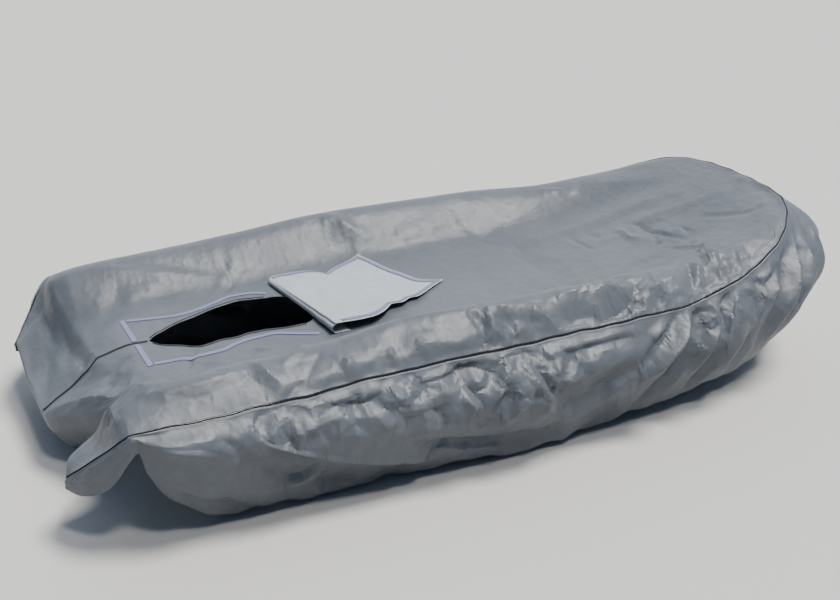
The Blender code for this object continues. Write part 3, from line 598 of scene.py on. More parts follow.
def seam_at(along):
    """Points of the seam at distances from its starboard end, round the bow to its port end."""
    along = np.asarray(along, float)
    half = from_stern(along)
    side = np.where(along <= HALF_SEAM, -1.0, 1.0)
    x = np.interp(half, SEAM_LENGTHS, SEAM_POINTS[:, 0])
    y = side * np.interp(half, SEAM_LENGTHS, SEAM_POINTS[:, 1])
    return np.stack([x, y, seam_height(x)], axis=-1)


def seam_outward(along):
    step = 0.03
    ahead = seam_at(np.minimum(along + step, 2 * HALF_SEAM))
    behind = seam_at(np.maximum(along - step, 0))
    run = unit((ahead - behind)[..., :2])
    return np.stack([run[..., 1], -run[..., 0], np.zeros(run.shape[:-1])], axis=-1)


def seam_wander(along):
    """How far the sewn seam strays from its true line: outward and up."""
    along = np.asarray(along, float)
    ends = ease(along / 0.1) * ease((2 * HALF_SEAM - along) / 0.1)
    shift = seam_outward(along) * (waves(along, SEAM_STRAY_OUT) * ends)[..., None]
    shift[..., 2] += waves(along, SEAM_STRAY_UP) * ends
    return shift


# ---- The top panel ----
def seam_inset(x, y):
    """Distance in from the seam, square to it."""
    x = np.minimum(x, STRAIGHT + 0.9985 * BOW)  # past this the seam runs straight across
    slope = (seam_half_width(x + 0.001) - seam_half_width(x - 0.001)) / 0.002
    return np.maximum(seam_half_width(x) - np.abs(y), 0) / np.sqrt(1 + slope**2)


def top_height(x, y):
    inset = np.maximum(seam_half_width(x) - np.abs(y), 0)
    edge = seam_height(x)
    crown = column(SECTIONS, "crown_z", x)
    crown_inset = column(SECTIONS, "crown_inset", x)
    middle = column(SECTIONS, "mid_z", x)
    rise = edge + (crown - edge) * np.sin(np.pi / 2 * np.clip(inset / crown_inset, 0, 1))
    fall = middle + (crown - middle) * (1 - ease((inset - crown_inset) / CROWN_FALL))
    height = np.where(inset < crown_inset, rise, fall)
    return height + ease(seam_inset(x, y) / 0.02) * crease_heights(TOP_CREASES, x, y)


def near_side(y):
    """1 on the starboard half of the top, fading to 0 past the middle."""
    return ease((0.10 - y) / 0.25)


def about(spot, x, y):
    return np.exp(-(((x - spot.x) ** 2 + (y - spot.y) ** 2) / spot.size**2))


def top_crumple(x, y):
    """Flat facets: weak in the middle, stronger along the near seam and in a few loose spots."""
    inset = seam_inset(x, y)
    rim = np.exp(-((inset - RIM) / RIM) ** 2) * ease((x - RIM_START) / 0.2) * np.where(y < 0, 1, FAR_RIM)
    total = 0
    for kind in TOP_CRUMPLES:
        height = kind.everywhere + kind.near * near_side(y) + kind.rim * rim
        for spot in LOOSE_SPOTS:
            height = height + kind.loose * spot.more * about(spot, x, y)
        total = total + height * facets(x, y, *kind.facets)
    return ease(inset / EDGE_FADE) * total


def spread(x, y, side):
    """Moves y of one half out, so that its column on the middle follows the hatch's lip."""
    lips = column(LIPS, "port" if side > 0 else "starboard", x)
    lip = np.where((x > LIPS[0].x) & (x < LIPS[-1].x), lips, 0.0)
    out = np.abs(y)
    return side * np.where(out < LIP_REACH, lip + out * (1 - lip / LIP_REACH), out)


STERN_RUN = 0.42
ROWS_STERN = 60
ROWS_SIDE = 338
NEAR_COLUMNS = 84
FAR_COLUMNS = 33
HEM_ROWS = (1.0, 0.86, 0.72, 0.58, 0.44, 0.3, 0.15)
EDGE_CELLS = 14  # how many cells in from the edge the wander reaches


def grid_along():
    """Places of the rows along the seam, of the front row along it, and of the columns from -1 to 1."""
    stern = np.linspace(0, STERN_RUN, ROWS_STERN + 1)
    side = np.linspace(STERN_RUN, HALF_SEAM - FRONT_HALF, ROWS_SIDE + 1)
    rows = np.concatenate([stern, side[1:]])
    near = np.linspace(0, 1, NEAR_COLUMNS + 1)
    far = np.linspace(0, 1, FAR_COLUMNS + 1)
    # the columns are closer together near the seam
    across = np.concatenate([-(near * (1.5 - 0.5 * near))[:0:-1], far * (1.3 - 0.3 * far)])
    front = HALF_SEAM + FRONT_HALF * across
    return rows, front, across


def twice_middle(row):
    """A row with its middle column given twice, once for each half of the top."""
    return np.concatenate([row[: NEAR_COLUMNS + 1], row[NEAR_COLUMNS:]])


def top_grid():
    """Points of the top panel: rows from the stern's hem to the bow, columns from starboard."""
    rows, front, across = grid_along()
    share = (rows / rows[-1])[:, None]
    starboard = seam_at(rows)[:, None, :2]
    port = starboard * (1, -1)
    plan = starboard + (port - starboard) * ((across + 1) / 2)[None, :, None]
    stern_y = across * STERN_EDGE[-1].y
    stern_x = column(STERN_EDGE, "x", stern_y) - STERN_EDGE[0].x
    plan[..., 0] += (1 - ease(share / 0.2)) * stern_x
    bulge = seam_at(front)[:, :2] - plan[-1]
    plan += (np.clip((share - 0.55) / 0.45, 0, 1) ** 2)[..., None] * bulge
    halves = []
    for side, part in ((-1, plan[:, : NEAR_COLUMNS + 1]), (1, plan[:, NEAR_COLUMNS:])):
        half = part.copy()
        inside = np.abs(half[..., 1]) < LIP_REACH
        half[..., 1] = np.where(inside, spread(half[..., 0], half[..., 1], side), half[..., 1])
        halves.append(half)
    plan = np.concatenate(halves, axis=1)
    stern_y = twice_middle(stern_y)
    grid = np.concatenate([plan, top_height(plan[..., 0], plan[..., 1])[..., None]], axis=-1)
    hems = []
    for part in HEM_ROWS:
        hem = grid[0].copy()
        hem[:, 0] += part**2 * column(STERN_EDGE, "tuck", stern_y)
        hem[:, 2] -= part * column(STERN_EDGE, "drop", stern_y)
        hems.append(hem)
    return np.concatenate([np.array(hems), grid])


def draw_in_edge(grid):
    """Moves the outer columns and the front row off the piping, and lets the seam wander."""
    rows, front, _ = grid_along()
    first = len(HEM_ROWS)
    front = twice_middle(front)
    rings = [
        (slice(first, None), 0, rows),
        (slice(first, None), -1, 2 * HALF_SEAM - rows),
        (-1, slice(1, -1), front[1:-1]),
    ]
    for row, col, along in rings:
        out = seam_outward(along)
        x = grid[row, col, 0]
        rise = column(SECTIONS, "crown_z", x) - seam_height(x)
        slope = np.pi / 2 * rise / column(SECTIONS, "crown_inset", x)
        inset = EDGE_CLEAR / np.sqrt(1 + slope**2)
        grid[row, col] -= out * inset[:, None]
        grid[row, col, 2] += inset * slope
    samples = np.linspace(0, 2 * HALF_SEAM, 700)
    tree = KDTree(len(samples))
    for i, point in enumerate(seam_at(samples)):
        tree.insert(point, i)
    tree.balance()
    wander = seam_wander(samples)
    n, m = grid.shape[:2]
    for i in range(first, n):
        for j in range(m):
            if EDGE_CELLS < j < m - EDGE_CELLS - 1 and i < n - EDGE_CELLS:
                continue
            _, near, away = tree.find(grid[i, j])
            grid[i, j] += wander[near] * math.exp(-away / WANDER_REACH)
    return grid


# ---- The skirts ----
def skirt_heights(table, along, down):
    """Heights of creases whose points are given as distance along the seam and fraction of the way down."""
    scaled = [
        crease._replace(line=[(place, part * SKIRT_DEPTH) for place, part in crease.line])
        for crease in table
    ]
    return crease_heights(scaled, along, down * SKIRT_DEPTH)


def crumpled(along, half, down):
    """Flat facets: strong below the middle of the seam, weak at the stern and near the hem."""
    a = along[:, None] + 0 * down
    b = down * SKIRT_DEPTH
    place = half[:, None]
    middle = ease((place - CRUMPLE_START) / 0.16) * (1 - ease((place - CRUMPLE_END) / 0.30))
    upper = 1 - ease((down - through(*CRUMPLE_FOOT, place)) / 0.09)
    patchy = ease(0.5 + smooth_noise(a, b, 0.20, 71))
    large = 0.05 + 0.34 * middle * upper + 0.03 * ease((place - BOW_CRUMPLE_START) / 0.3)
    small = 0.03 + 0.26 * middle * upper * patchy
    return large * facets(a, b, *SKIRT_LARGE) + small * facets(a, b, *SKIRT_SMALL)


def skirt_points(along, down):
    """Points of a skirt over places along the seam and fractions of the way down from it to the hem."""
    seam = seam_at(along)
    out = seam_outward(along)
    half = from_stern(along)
    row = {name: column(SKIRT, name, half) for name in Skirt._fields[1:]}
    knots_out = np.stack([0 * half, row["reach"], row["low_out"], row["low_out"] - row["tuck"]], axis=-1)
    low = row["low_z"] - seam[:, 2]
    knots_z = np.stack([0 * half, -row["reach_drop"], low, low + row["lift"]], axis=-1)
    points = np.empty((len(along), len(down), 3))
    for i in range(len(along)):
        chords = np.hypot(np.diff(knots_out[i]), np.diff(knots_z[i]))
        places = np.concatenate([[0], np.cumsum(chords)])
        at = EDGE_CLEAR + np.asarray(down) * (places[-1] - EDGE_CLEAR)
        shift = through(places, knots_out[i], at)
        points[i] = seam[i] + shift[:, None] * out[i]
        points[i, :, 2] += through(places, knots_z[i], at)
    down = np.asarray(down)[None, :]
    place = np.where(along <= HALF_SEAM, along, half + PORT_SHIFT)[:, None] + 0 * down
    fold = ease(down / 0.10) * skirt_heights(SKIRT_CREASES, place, down)
    points += fold[..., None] * out[:, None]
    points[..., 2] -= skirt_heights(HANGING_CREASES, place, down)
    points += (crumpled(along, half, down) * ease(down / 0.06))[..., None] * out[:, None]
    points += seam_wander(along)[:, None] * np.exp(-down * SKIRT_DEPTH / WANDER_REACH)[..., None]
    hem_wave = waves(2 * np.pi * along, HEM_WAVES) * ease((half - HEM_WAVE_START) / 0.2)
    points[..., 2] += hem_wave[:, None] * ease((down - 0.5) / 0.5)
    return points


# ---- Crumpling: cloth a little larger than its shape is left to buckle ----
def normals_of(points):
    normal = np.cross(np.gradient(points, axis=0), np.gradient(points, axis=1))
    return normal / np.maximum(np.linalg.norm(normal, axis=-1, keepdims=True), 1e-9)


def links(points, slack_a, slack_b, free, weld):
    """Pairs of grid neighbours with their rest lengths, in groups that share no point.

    None crosses from the weld's column to the next: the halves of the top only meet where they are welded.
    """
    groups = []
    side_a = np.diff(points, axis=0)
    side_b = np.diff(points, axis=1)
    rest_a = np.linalg.norm(side_a, axis=-1) * (1 + slack_a[1:])
    rest_b = np.linalg.norm(side_b, axis=-1) * (1 + slack_b[:, 1:])
    both = (1 + slack_a[1:, 1:]) * (1 + slack_b[1:, 1:])
    dot = (side_a[:, 1:] * side_b[1:]).sum(-1) * both
    rest_c = np.sqrt(np.maximum(rest_a[:, 1:] ** 2 + rest_b[1:] ** 2 + 2 * dot, 1e-12))
    dot = (side_a[:, :-1] * side_b[1:]).sum(-1) * both
    rest_d = np.sqrt(np.maximum(rest_a[:, :-1] ** 2 + rest_b[1:] ** 2 - 2 * dot, 1e-12))
    kinds = [
        (rest_a, (0, 0), (1, 0), 0, 1.0),
        (rest_b, (0, 0), (0, 1), 1, 1.0),
        (rest_c, (0, 0), (1, 1), 0, DIAGONAL),
        (rest_d, (0, 1), (1, 0), 0, DIAGONAL),
    ]
    for rest, near, far, axis, stiffness in kinds:
        for odd in (0, 1):
            pick = [slice(None), slice(None)]
            pick[axis] = slice(odd, None, 2)
            a, b = (
                tuple(slice(s + (p.start or 0), s + k, p.step) for s, k, p in zip(corner, rest.shape, pick))
                for corner in (near, far)
            )
            length = rest[tuple(pick)].astype(np.float32)
            wa = free[a].astype(np.float32)
            wb = free[b].astype(np.float32)
            share = stiffness / np.maximum(wa + wb, 1e-6)
            if weld is not None and near[1] != far[1]:
                crossing = np.zeros(rest.shape, bool)
                crossing[:, weld] = True
                share = np.where(crossing[tuple(pick)], 0, share)
            groups.append((a, b, length[..., None], (share * wa)[..., None], (share * wb)[..., None]))
    return groups


def crumple(points, slack_a, slack_b, free, start, level, weld, welded, bent=None):
    """Lets a grid of points buckle, held back to its place and against sharp bends."""
    place = points.astype(np.float32)
    now = points if bent is None else bent
    now = (now + normals_of(points) * (start * free)[..., None]).astype(np.float32)
    groups = links(points, slack_a, slack_b, free, weld)
    pull = (HOLD[level] * free)[..., None].astype(np.float32)
    bend = (STIFF[level] * np.minimum(free, 1))[1:-1, 1:-1, None].astype(np.float32)
    for _ in range(ROUNDS[level]):
        for a, b, length, wa, wb in groups:
            between = now[b] - now[a]
            span = np.sqrt((between**2).sum(-1, keepdims=True)) + 1e-9
            between *= 1 - length / span
            now[a] += wa * between
            now[b] -= wb * between
        moved = now - place
        around = (moved[:-2, 1:-1] + moved[2:, 1:-1] + moved[1:-1, :-2] + moved[1:-1, 2:]) / 4
        now[1:-1, 1:-1] += bend * (around - moved[1:-1, 1:-1])
        now -= pull * moved
        if weld is not None:
            middle = (now[:, weld] + now[:, weld + 1]) / 2
            now[:, weld] = np.where(welded[:, None], middle, now[:, weld])
            now[:, weld + 1] = np.where(welded[:, None], middle, now[:, weld + 1])
    return now.astype(float)


def weights(count, step):
    """Smooth weights that spread every step-th value over all of a row's places."""
    at = np.arange(count) / step
    known = (count - 1) // step + 1
    table = np.zeros((count, known))
    i = np.minimum(at.astype(int), known - 2)
    t = at - i
    parts = (
        -t * (1 - t) ** 2 / 2,
        1 - t * t * (5 - 3 * t) / 2,
        t * (1 + 4 * t - 3 * t * t) / 2,
        -(t**2) * (1 - t) / 2,
    )
    for shift, part in zip((-1, 0, 1, 2), parts):
        np.add.at(table, (np.arange(count), np.clip(i + shift, 0, known - 1)), part)
    return table


def buckle(points, slack_a, slack_b, free, start, halves=None, welded=None):
    """Crumples a coarse copy of the grid for the larger wrinkles, then the grid itself for the fine ones.

    Of a grid in two halves, halves is the last column of the first, and welded tells where the two join.
    """
    ends = [0, points.shape[1]] if halves is None else [0, halves + 1, points.shape[1]]
    cols = np.concatenate([np.arange(first, last, COARSE_STEP) for first, last in zip(ends, ends[1:])])
    pick = np.ix_(np.arange(0, points.shape[0], COARSE_STEP), cols)
    weld = None if halves is None else halves // COARSE_STEP
    merged = None if welded is None else welded[::COARSE_STEP]
    coarse = points[pick]
    bent = crumple(coarse, slack_a[pick], slack_b[pick], free[pick], start[pick], 0, weld, merged)
    moved = np.tensordot(weights(points.shape[0], COARSE_STEP), bent - coarse, 1)
    parts = np.split(moved, [] if weld is None else [weld + 1], axis=1)
    finer = [
        np.einsum("cj,ijk->ick", weights(count, COARSE_STEP), part)
        for count, part in zip(np.diff(ends), parts)
    ]
    bent = points + np.concatenate(finer, axis=1) * np.minimum(free, 1)[..., None]
    return crumple(points, slack_a, slack_b, free, FINE_START * start, 1, halves, welded, bent)


# ---- Meshes ----
def object_of(name, mesh, finish):
    mesh.materials.append(finish)
    thing = bpy.data.objects.new(name, mesh)
    bpy.context.scene.collection.objects.link(thing)
    return thing


def soften(mesh, beyond):
    """Takes the sharp edges away past a distance to port."""
    for edge in mesh.edges:
        if max(mesh.vertices[i].co.y for i in edge.vertices) > beyond:
            edge.use_edge_sharp = False


def grid_mesh(name, grids, thickness, finish, crisp=None, crisp_to=None):
    """One sheet from grids of points, joined where they meet, with texture places in metres."""
    verts, faces, places = [], [], []
    first = 0
    for points in grids:
        n, m = points.shape[:2]
        verts.append((points - ORIGIN).reshape(-1, 3))
        i = (np.arange(n - 1)[:, None] * m + np.arange(m - 1)[None, :] + first).ravel()
        faces.append(np.stack([i, i + 1, i + m + 1, i + m], axis=-1))
        places.append(np.stack([lengths_along(points, 0), lengths_along(points, 1)], axis=-1).reshape(-1, 2))
        first += n * m
    faces = np.concatenate(faces)
    places = np.concatenate(places)
    mesh = bpy.data.meshes.new(name)
    mesh.from_pydata(np.concatenate(verts).tolist(), [], faces.tolist())
    layer = mesh.uv_layers.new(name="cut")
    layer.data.foreach_set("uv", places[faces.ravel()].astype(np.float32).ravel())
    mesh.shade_smooth()
    if len(grids) > 1:
        shape = bmesh.new()
        shape.from_mesh(mesh)
        bmesh.ops.remove_doubles(shape, verts=shape.verts, dist=0.00003)
        shape.to_mesh(mesh)
        shape.free()
    if crisp:
        mesh.set_sharp_from_angle(angle=math.radians(crisp))
    if crisp_to:
        soften(mesh, crisp_to)
    thing = object_of(name, mesh, finish)
    shell = thing.modifiers.new("thickness", "SOLIDIFY")
    shell.thickness = thickness
    shell.offset = 0
    return thing


def tube_mesh(name, points, radius, finish):
    """A round cord along a run of points, with closed ends."""
    run = unit(np.gradient(points, axis=0))
    side = unit(np.cross(run, (0, 0, 1.0)))
    up = np.cross(side, run)
    verts, faces = [], []
    for point, a, b in zip(points - ORIGIN, side, up):
        for k in range(CORD_SIDES):
            turn = 2 * np.pi * k / CORD_SIDES
            verts.append(tuple(point + radius * (np.cos(turn) * a + np.sin(turn) * b)))
    ends = len(verts) - CORD_SIDES
    for base in range(0, ends, CORD_SIDES):
        for k in range(CORD_SIDES):
            j = (k + 1) % CORD_SIDES
            faces.append((base + k, base + j, base + CORD_SIDES + j, base + CORD_SIDES + k))
    faces.append(tuple(range(CORD_SIDES))[::-1])
    faces.append(tuple(range(ends, ends + CORD_SIDES)))
    mesh = bpy.data.meshes.new(name)
    mesh.from_pydata(verts, [], faces)
    mesh.shade_smooth()
    return object_of(name, mesh, finish)


def surface_of(thing):
    """A finder of the upper surface of an object, with its normal, over a point of the plan."""
    tree = BVHTree.FromObject(thing, bpy.context.evaluated_depsgraph_get())

    def find(x, y):
        spot, normal, _, _ = tree.ray_cast(Vector((x - ORIGIN[0], y, 1)), Vector((0, 0, -1)))
        if spot is None:
            return np.array((x, y, float(top_height(x, y)))), np.array((0, 0, 1.0))
        return np.array(spot) + ORIGIN, np.array(normal)

    return find


def even_out(points, times):
    """Lifts each point at least to halfway between its neighbours along the grid."""
    for _ in range(times):
        points[1:-1, :, 2] = np.maximum(points[1:-1, :, 2], (points[:-2, :, 2] + points[2:, :, 2]) / 2)
    return points


def lay(find, plan, lift):
    """Points a little off the cloth under them, with the cloth's smallest wrinkles evened out."""
    points = np.empty((*plan.shape[:2], 3))
    for i, line in enumerate(plan):
        for j, (x, y) in enumerate(line):
            spot, normal = find(x, y)
            points[i, j] = spot + lift * normal
    return even_out(points, 2)


def beside(line, distance):
    run = unit(np.gradient(line, axis=0))
    return line + distance * np.stack([-run[:, 1], run[:, 0]], axis=1)


def ribbon(line, width):
    return np.stack([beside(line, d) for d in np.linspace(-width / 2, width / 2, 5)], axis=1)


# ---- Materials ----
def material(name, roughness, specular):
    made = bpy.data.materials.new(name)
    made.use_nodes = True
    shader = made.node_tree.nodes["Principled BSDF"]
    shader.inputs["Roughness"].default_value = roughness
    shader.inputs["Specular IOR Level"].default_value = specular
    return made, made.node_tree, shader


def feed(tree, socket, value):
    """Links another node's output to a socket, or sets a plain value on it."""
    if isinstance(value, bpy.types.NodeSocket):
        tree.links.new(value, socket)
    else:
        socket.default_value = value


def add(tree, kind, *first, **named):
    """A node with its first inputs in order, and other inputs or settings by name."""
    node = tree.nodes.new("ShaderNode" + kind)
    for socket, value in zip(node.inputs, first):
        feed(tree, socket, value)
    for name, value in named.items():
        if name in node.inputs:
            feed(tree, node.inputs[name], value)
        else:
            setattr(node, name, value)
    return node


def noise(tree, where, scale, detail, roughness=0.5, distortion=0.0):
    shape = {"Scale": scale, "Detail": detail, "Roughness": roughness, "Distortion": distortion}
    return add(tree, "TexNoise", Vector=where, **shape).outputs["Fac"]


def ramp(tree, value, stops):
    node = add(tree, "ValToRGB", value)
    while len(node.color_ramp.elements) < len(stops):
        node.color_ramp.elements.new(0.5)
    for element, (place, colour) in zip(node.color_ramp.elements, stops):
        element.position = place
        element.color = (*colour, 1)
    return node.outputs["Color"]


def between(tree, value, low, high):
    return add(tree, "MapRange", Value=value, **{"To Min": low, "To Max": high}).outputs["Result"]


def maths(tree, kind, a, b=0.0):
    return add(tree, "Math", a, b, operation=kind).outputs[0]


def blend(tree, a, b, share):
    """The sum of a height and a share of another."""
    return maths(tree, "ADD", a, maths(tree, "MULTIPLY", b, share))


def bump(tree, height, strength, distance, under=None):
    node = add(tree, "Bump", Height=height, Strength=strength, Distance=distance)
    if under is not None:
        feed(tree, node.inputs["Normal"], under)
    return node.outputs["Normal"]


def weave(tree, cut, pitch):
    """Height of a plain weave over texture places in metres."""
    waves = {"Scale": 0.314 / pitch, "Distortion": 0.3}
    threads = [add(tree, "TexWave", Vector=cut, bands_direction=way, **waves).outputs["Fac"] for way in "XY"]
    return maths(tree, "MULTIPLY", *threads)


def stitches(tree, cut, at, pitch):
    """1 on the threads of a row of stitches, 0 elsewhere, over texture places in metres."""
    parts = add(tree, "SeparateXYZ", cut).outputs
    across = maths(tree, "ABSOLUTE", maths(tree, "SUBTRACT", parts["Y"], at))
    along = maths(tree, "FRACT", maths(tree, "DIVIDE", parts["X"], pitch))
    on_line = maths(tree, "LESS_THAN", across, 0.0005)
    return maths(tree, "MULTIPLY", on_line, maths(tree, "LESS_THAN", along, 0.65))


def sewn_colours(tree, under, sewn, dark, light, thread):
    """A ramp from dark to light over heights from 0 to 1, with stitches of a thread's colour on it."""
    mixed = maths(tree, "MAXIMUM", maths(tree, "MULTIPLY", under, 0.8), sewn)
    return ramp(tree, mixed, [dark, light, (0.90, light[1]), (1.0, thread)])


def creased(tree, place, scale):
    """Height of flat facets between sharp creases, as stiff cloth crumples."""
    wander = add(tree, "TexNoise", Vector=place, Scale=0.4 * scale, Detail=2.0).outputs["Color"]
    bend = add(tree, "VectorMath", wander, operation="SCALE", Scale=0.9 / scale)
    moved = add(tree, "VectorMath", place, bend.outputs[0]).outputs[0]
    heights = []
    for stretch in ((1.0, 0.55, 1.0), (0.6, 0.9, 0.8)):
        size = [part * scale for part in stretch]
        sized = add(tree, "VectorMath", moved, size, operation="MULTIPLY").outputs[0]
        cells = add(tree, "TexVoronoi", Vector=sized, Scale=1.0)
        heights.append(maths(tree, "POWER", cells.outputs["Distance"], 2.0))
    return maths(tree, "SUBTRACT", *heights)


def tinted(colour, share):
    return tuple(share * part for part in colour)


def coated_cloth(name, dark, light, roughness, sewn_at=None):
    """Coated cloth with a faint weave, fine crumples and, where asked, a row of stitches beside its edge."""
    made, tree, shader = material(name, roughness, 0.42)
    spots = add(tree, "TexCoord").outputs
    cut, place = spots["UV"], spots["Object"]
    broad = noise(tree, place, 2.2, 4.0, 0.6)
    fine = noise(tree, place, 26.0, 5.0, 0.65, 0.4)
    mixed = blend(tree, maths(tree, "MULTIPLY", broad, 0.6), fine, 0.4)
    if sewn_at is None:
        colour = ramp(tree, mixed, [(0.30, dark), (0.72, light)])
    else:
        sewn = stitches(tree, cut, sewn_at, 0.0045)
        colour = sewn_colours(tree, mixed, sewn, (0.24, dark), (0.576, light), tinted(dark, 0.4))
    gloss = between(tree, noise(tree, place, 9.0, 4.0, 0.6), roughness - 0.10, roughness + 0.10)
    crinkle = blend(tree, creased(tree, place, 16.0), creased(tree, place, 41.0), 0.45)
    normal = bump(tree, crinkle, 0.30, 0.0060)
    normal = bump(tree, noise(tree, place, 60.0, 6.0, 0.62, 1.2), 0.25, 0.0016, normal)
    normal = bump(tree, weave(tree, cut, 0.0011), 0.25, 0.00012, normal)
    if sewn_at is not None:
        normal = bump(tree, sewn, 0.5, 0.0004, normal)
    for name, value in (("Base Color", colour), ("Roughness", gloss), ("Normal", normal)):
        feed(tree, shader.inputs[name], value)
    return made


def tape_finish(name, dark, light):
    """The pile of a hook strip, with a row of stitches along each edge."""
    made, tree, shader = material(name, 0.85, 0.25)
    cut = add(tree, "TexCoord").outputs["UV"]
    pile = noise(tree, cut, 900.0, 3.0, 0.7)
    sewn = maths(tree, "ADD", stitches(tree, cut, 0.0022, 0.004), stitches(tree, cut, 0.0158, 0.004))
    colour = sewn_colours(tree, pile, sewn, (0.24, dark), (0.56, light), tinted(dark, 0.6))
    feed(tree, shader.inputs["Base Color"], colour)
    normal = bump(tree, sewn, 0.5, 0.0004, bump(tree, pile, 0.6, 0.0006))
    feed(tree, shader.inputs["Normal"], normal)
    shader.inputs["Sheen Weight"].default_value = 0.3
    return made


def cord_finish(name, dark, light, roughness):
    made, tree, shader = material(name, roughness, 0.2)
    ribs = noise(tree, add(tree, "TexCoord").outputs["Object"], 700.0, 2.0)
    feed(tree, shader.inputs["Base Color"], ramp(tree, ribs, [(0.30, dark), (0.70, light)]))
    feed(tree, shader.inputs["Normal"], bump(tree, ribs, 0.4, 0.0004))
    return made


CLOTH_COLOURS = ((0.078, 0.088, 0.102), (0.120, 0.133, 0.152))
CLOTH_FINISH = coated_cloth("coated_cloth_dressed", *CLOTH_COLOURS, 0.44)
SEWN_FINISH = coated_cloth("coated_cloth_sewn_dressed", *CLOTH_COLOURS, 0.44, STITCH_LINE)
LINING_FINISH = coated_cloth("coated_underside_dressed", (0.350, 0.378, 0.400), (0.450, 0.475, 0.495), 0.42)
PIPING_FINISH = cord_finish("black_piping_dressed", (0.006, 0.007, 0.010), (0.020, 0.022, 0.028), 0.90)
ZIP_FINISH = cord_finish("black_zip_dressed", (0.008, 0.009, 0.011), (0.030, 0.032, 0.038), 0.42)
TAPE_FINISH = tape_finish("lilac_hook_strip_dressed", (0.140, 0.142, 0.250), (0.248, 0.248, 0.390))


def dress(thing, slot, *nodes):
    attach(thing, "root")
    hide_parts(*nodes)
    return thing


# ---- Top panel ----
top = draw_in_edge(top_grid())
n, m = top.shape[:2]
x, y = top[..., 0], top[..., 1]
free = np.ones((n, m))
for edge in (0, 1):
    free[:, edge] = free[:, m - 1 - edge] = edge * 0.5
    free[n - 1 - edge] = edge * 0.5
free[0] = 1
top[..., 2] += top_crumple(x, y)
slack = LEAST_SLACK + 0.006 * ease((-y - 0.42) / 0.14) * (0.55 + 0.6 * smooth_noise(x, y, 0.34, 5))
for spot in LOOSE_SPOTS:
    slack = slack + 0.5 * spot.more * about(spot, x, y)
slack = np.maximum(slack, 0)
start = 0.0012 * near_side(y) * smooth_noise(x, y, 0.045, 1) + 0.0010 * smooth_noise(x, y, 0.10, 2)
middle_x = top[:, NEAR_COLUMNS, 0]
welded = (middle_x <= LIPS[0].x) | (middle_x >= LIPS[-1].x)
welded[: len(HEM_ROWS)] = True
top = buckle(top, slack, slack, free, start, NEAR_COLUMNS, welded)
halves = [top[:, : NEAR_COLUMNS + 1], top[:, NEAR_COLUMNS + 1 :]]
cover_top = grid_mesh("cover_top", halves, CLOTH, CLOTH_FINISH, TOP_CRISP, CRISP_TO)
dress(cover_top, "coated_cloth", "top_panel")

# ---- Skirts ----
JOIN_AT = HALF_SEAM - JOIN


def skirt(name, along, columns, node, seed):
    down = np.linspace(0, 1, columns)
    down = down * (0.75 + 0.25 * down)  # closer together near the seam
    points = skirt_points(along, down)
    a = along[:, None] + 0 * down[None, :]
    b = down[None, :] * SKIRT_DEPTH + 0 * along[:, None]
    free = np.ones(points.shape[:2])
    free[:, 0] = 0
    free[:, 1] = 0.5
    upper = np.exp(-((b / SKIRT_DEPTH - 0.30) / 0.26) ** 2)
    slack = LEAST_SLACK + 0.016 * upper * ease((from_stern(a) - 0.50) / 0.25)
    slack = np.maximum(slack * (0.6 + 0.6 * smooth_noise(a, b, 0.20, seed)), 0)
    start = 0.0016 * smooth_noise(a, b, 0.08, seed + 1) + 0.0020 * smooth_noise(a, b, 0.17, seed + 2)
    points = buckle(points, slack, slack * 0.8, free, start)
    thing = grid_mesh(name, [points], CLOTH, SEWN_FINISH, SKIRT_CRISP)
    return dress(thing, "coated_cloth", node)


starboard_along = np.linspace(0, JOIN_AT - 0.0004, 571)
port_along = np.linspace(JOIN_AT, 2 * HALF_SEAM, 469)
skirt_near = skirt("cover_skirt_starboard", starboard_along, 79, "skirt_starboard", 11)
skirt_far = skirt("cover_skirt_port", port_along, 91, "skirt_port", 31)

# ---- Piping ----
around = np.linspace(0, 2 * HALF_SEAM, 1300)
line = seam_at(around) + seam_wander(around)
line[:, 1:] -= PIPING_TUCK * ease((around - (2 * HALF_SEAM - PIPING_TUCK_FROM)) / 0.12)[:, None]
for name, part, node in (
    ("seam_piping_starboard", around < JOIN_AT - JOIN_GATHER, "piping_starboard"),
    ("seam_piping_port", around > JOIN_AT + JOIN_GATHER, "piping_port"),
):
    dress(tube_mesh(name, line[part], PIPING_RADIUS, PIPING_FINISH), "black_piping", node)

# ---- Strips and zip on the top ----
bpy.context.view_layer.update()
find = surface_of(cover_top)


def strip(name, points, width, thickness, finish, slot, node):
    grid = lay(find, ribbon(run_of(points, STRIP_STEP), width), LAID_CLEAR + thickness / 2)
    dress(grid_mesh(name, [grid], thickness, finish), slot, node)


for name, points, node in (
    ("tape_starboard", STRIP_STARBOARD, "hook_strip_starboard"),
    ("tape_port", STRIP_PORT, "hook_strip_port"),
    ("tape_aft_starboard", STRIP_AFT_STARBOARD, "hook_strip_aft_starboard"),
    ("tape_aft_port", STRIP_AFT_PORT, "hook_strip_aft_port"),
):
    strip(name, points, STRIP_WIDTH, TAPE, TAPE_FINISH, "lilac_hook_strip", node)
stern = float(column(STERN_EDGE, "x", 0.0))
closed = [Spot(stern + ZIP_END, 0.0), Spot(LIPS[0].x - ZIP_END, 0.0)]
strip("zip_closed", closed, ZIP_WIDTH, ZIP_THICKNESS, ZIP_FINISH, "black_zip", "centre_zip")
for name, points, node in (
    ("zip_open_starboard", ZIP_HALF_STARBOARD, "zip_half_starboard"),
    ("zip_open_port", ZIP_HALF_PORT, "zip_half_port"),
):
    strip(name, points, ZIP_HALF_WIDTH, ZIP_HALF_THICKNESS, ZIP_FINISH, "black_zip", node)


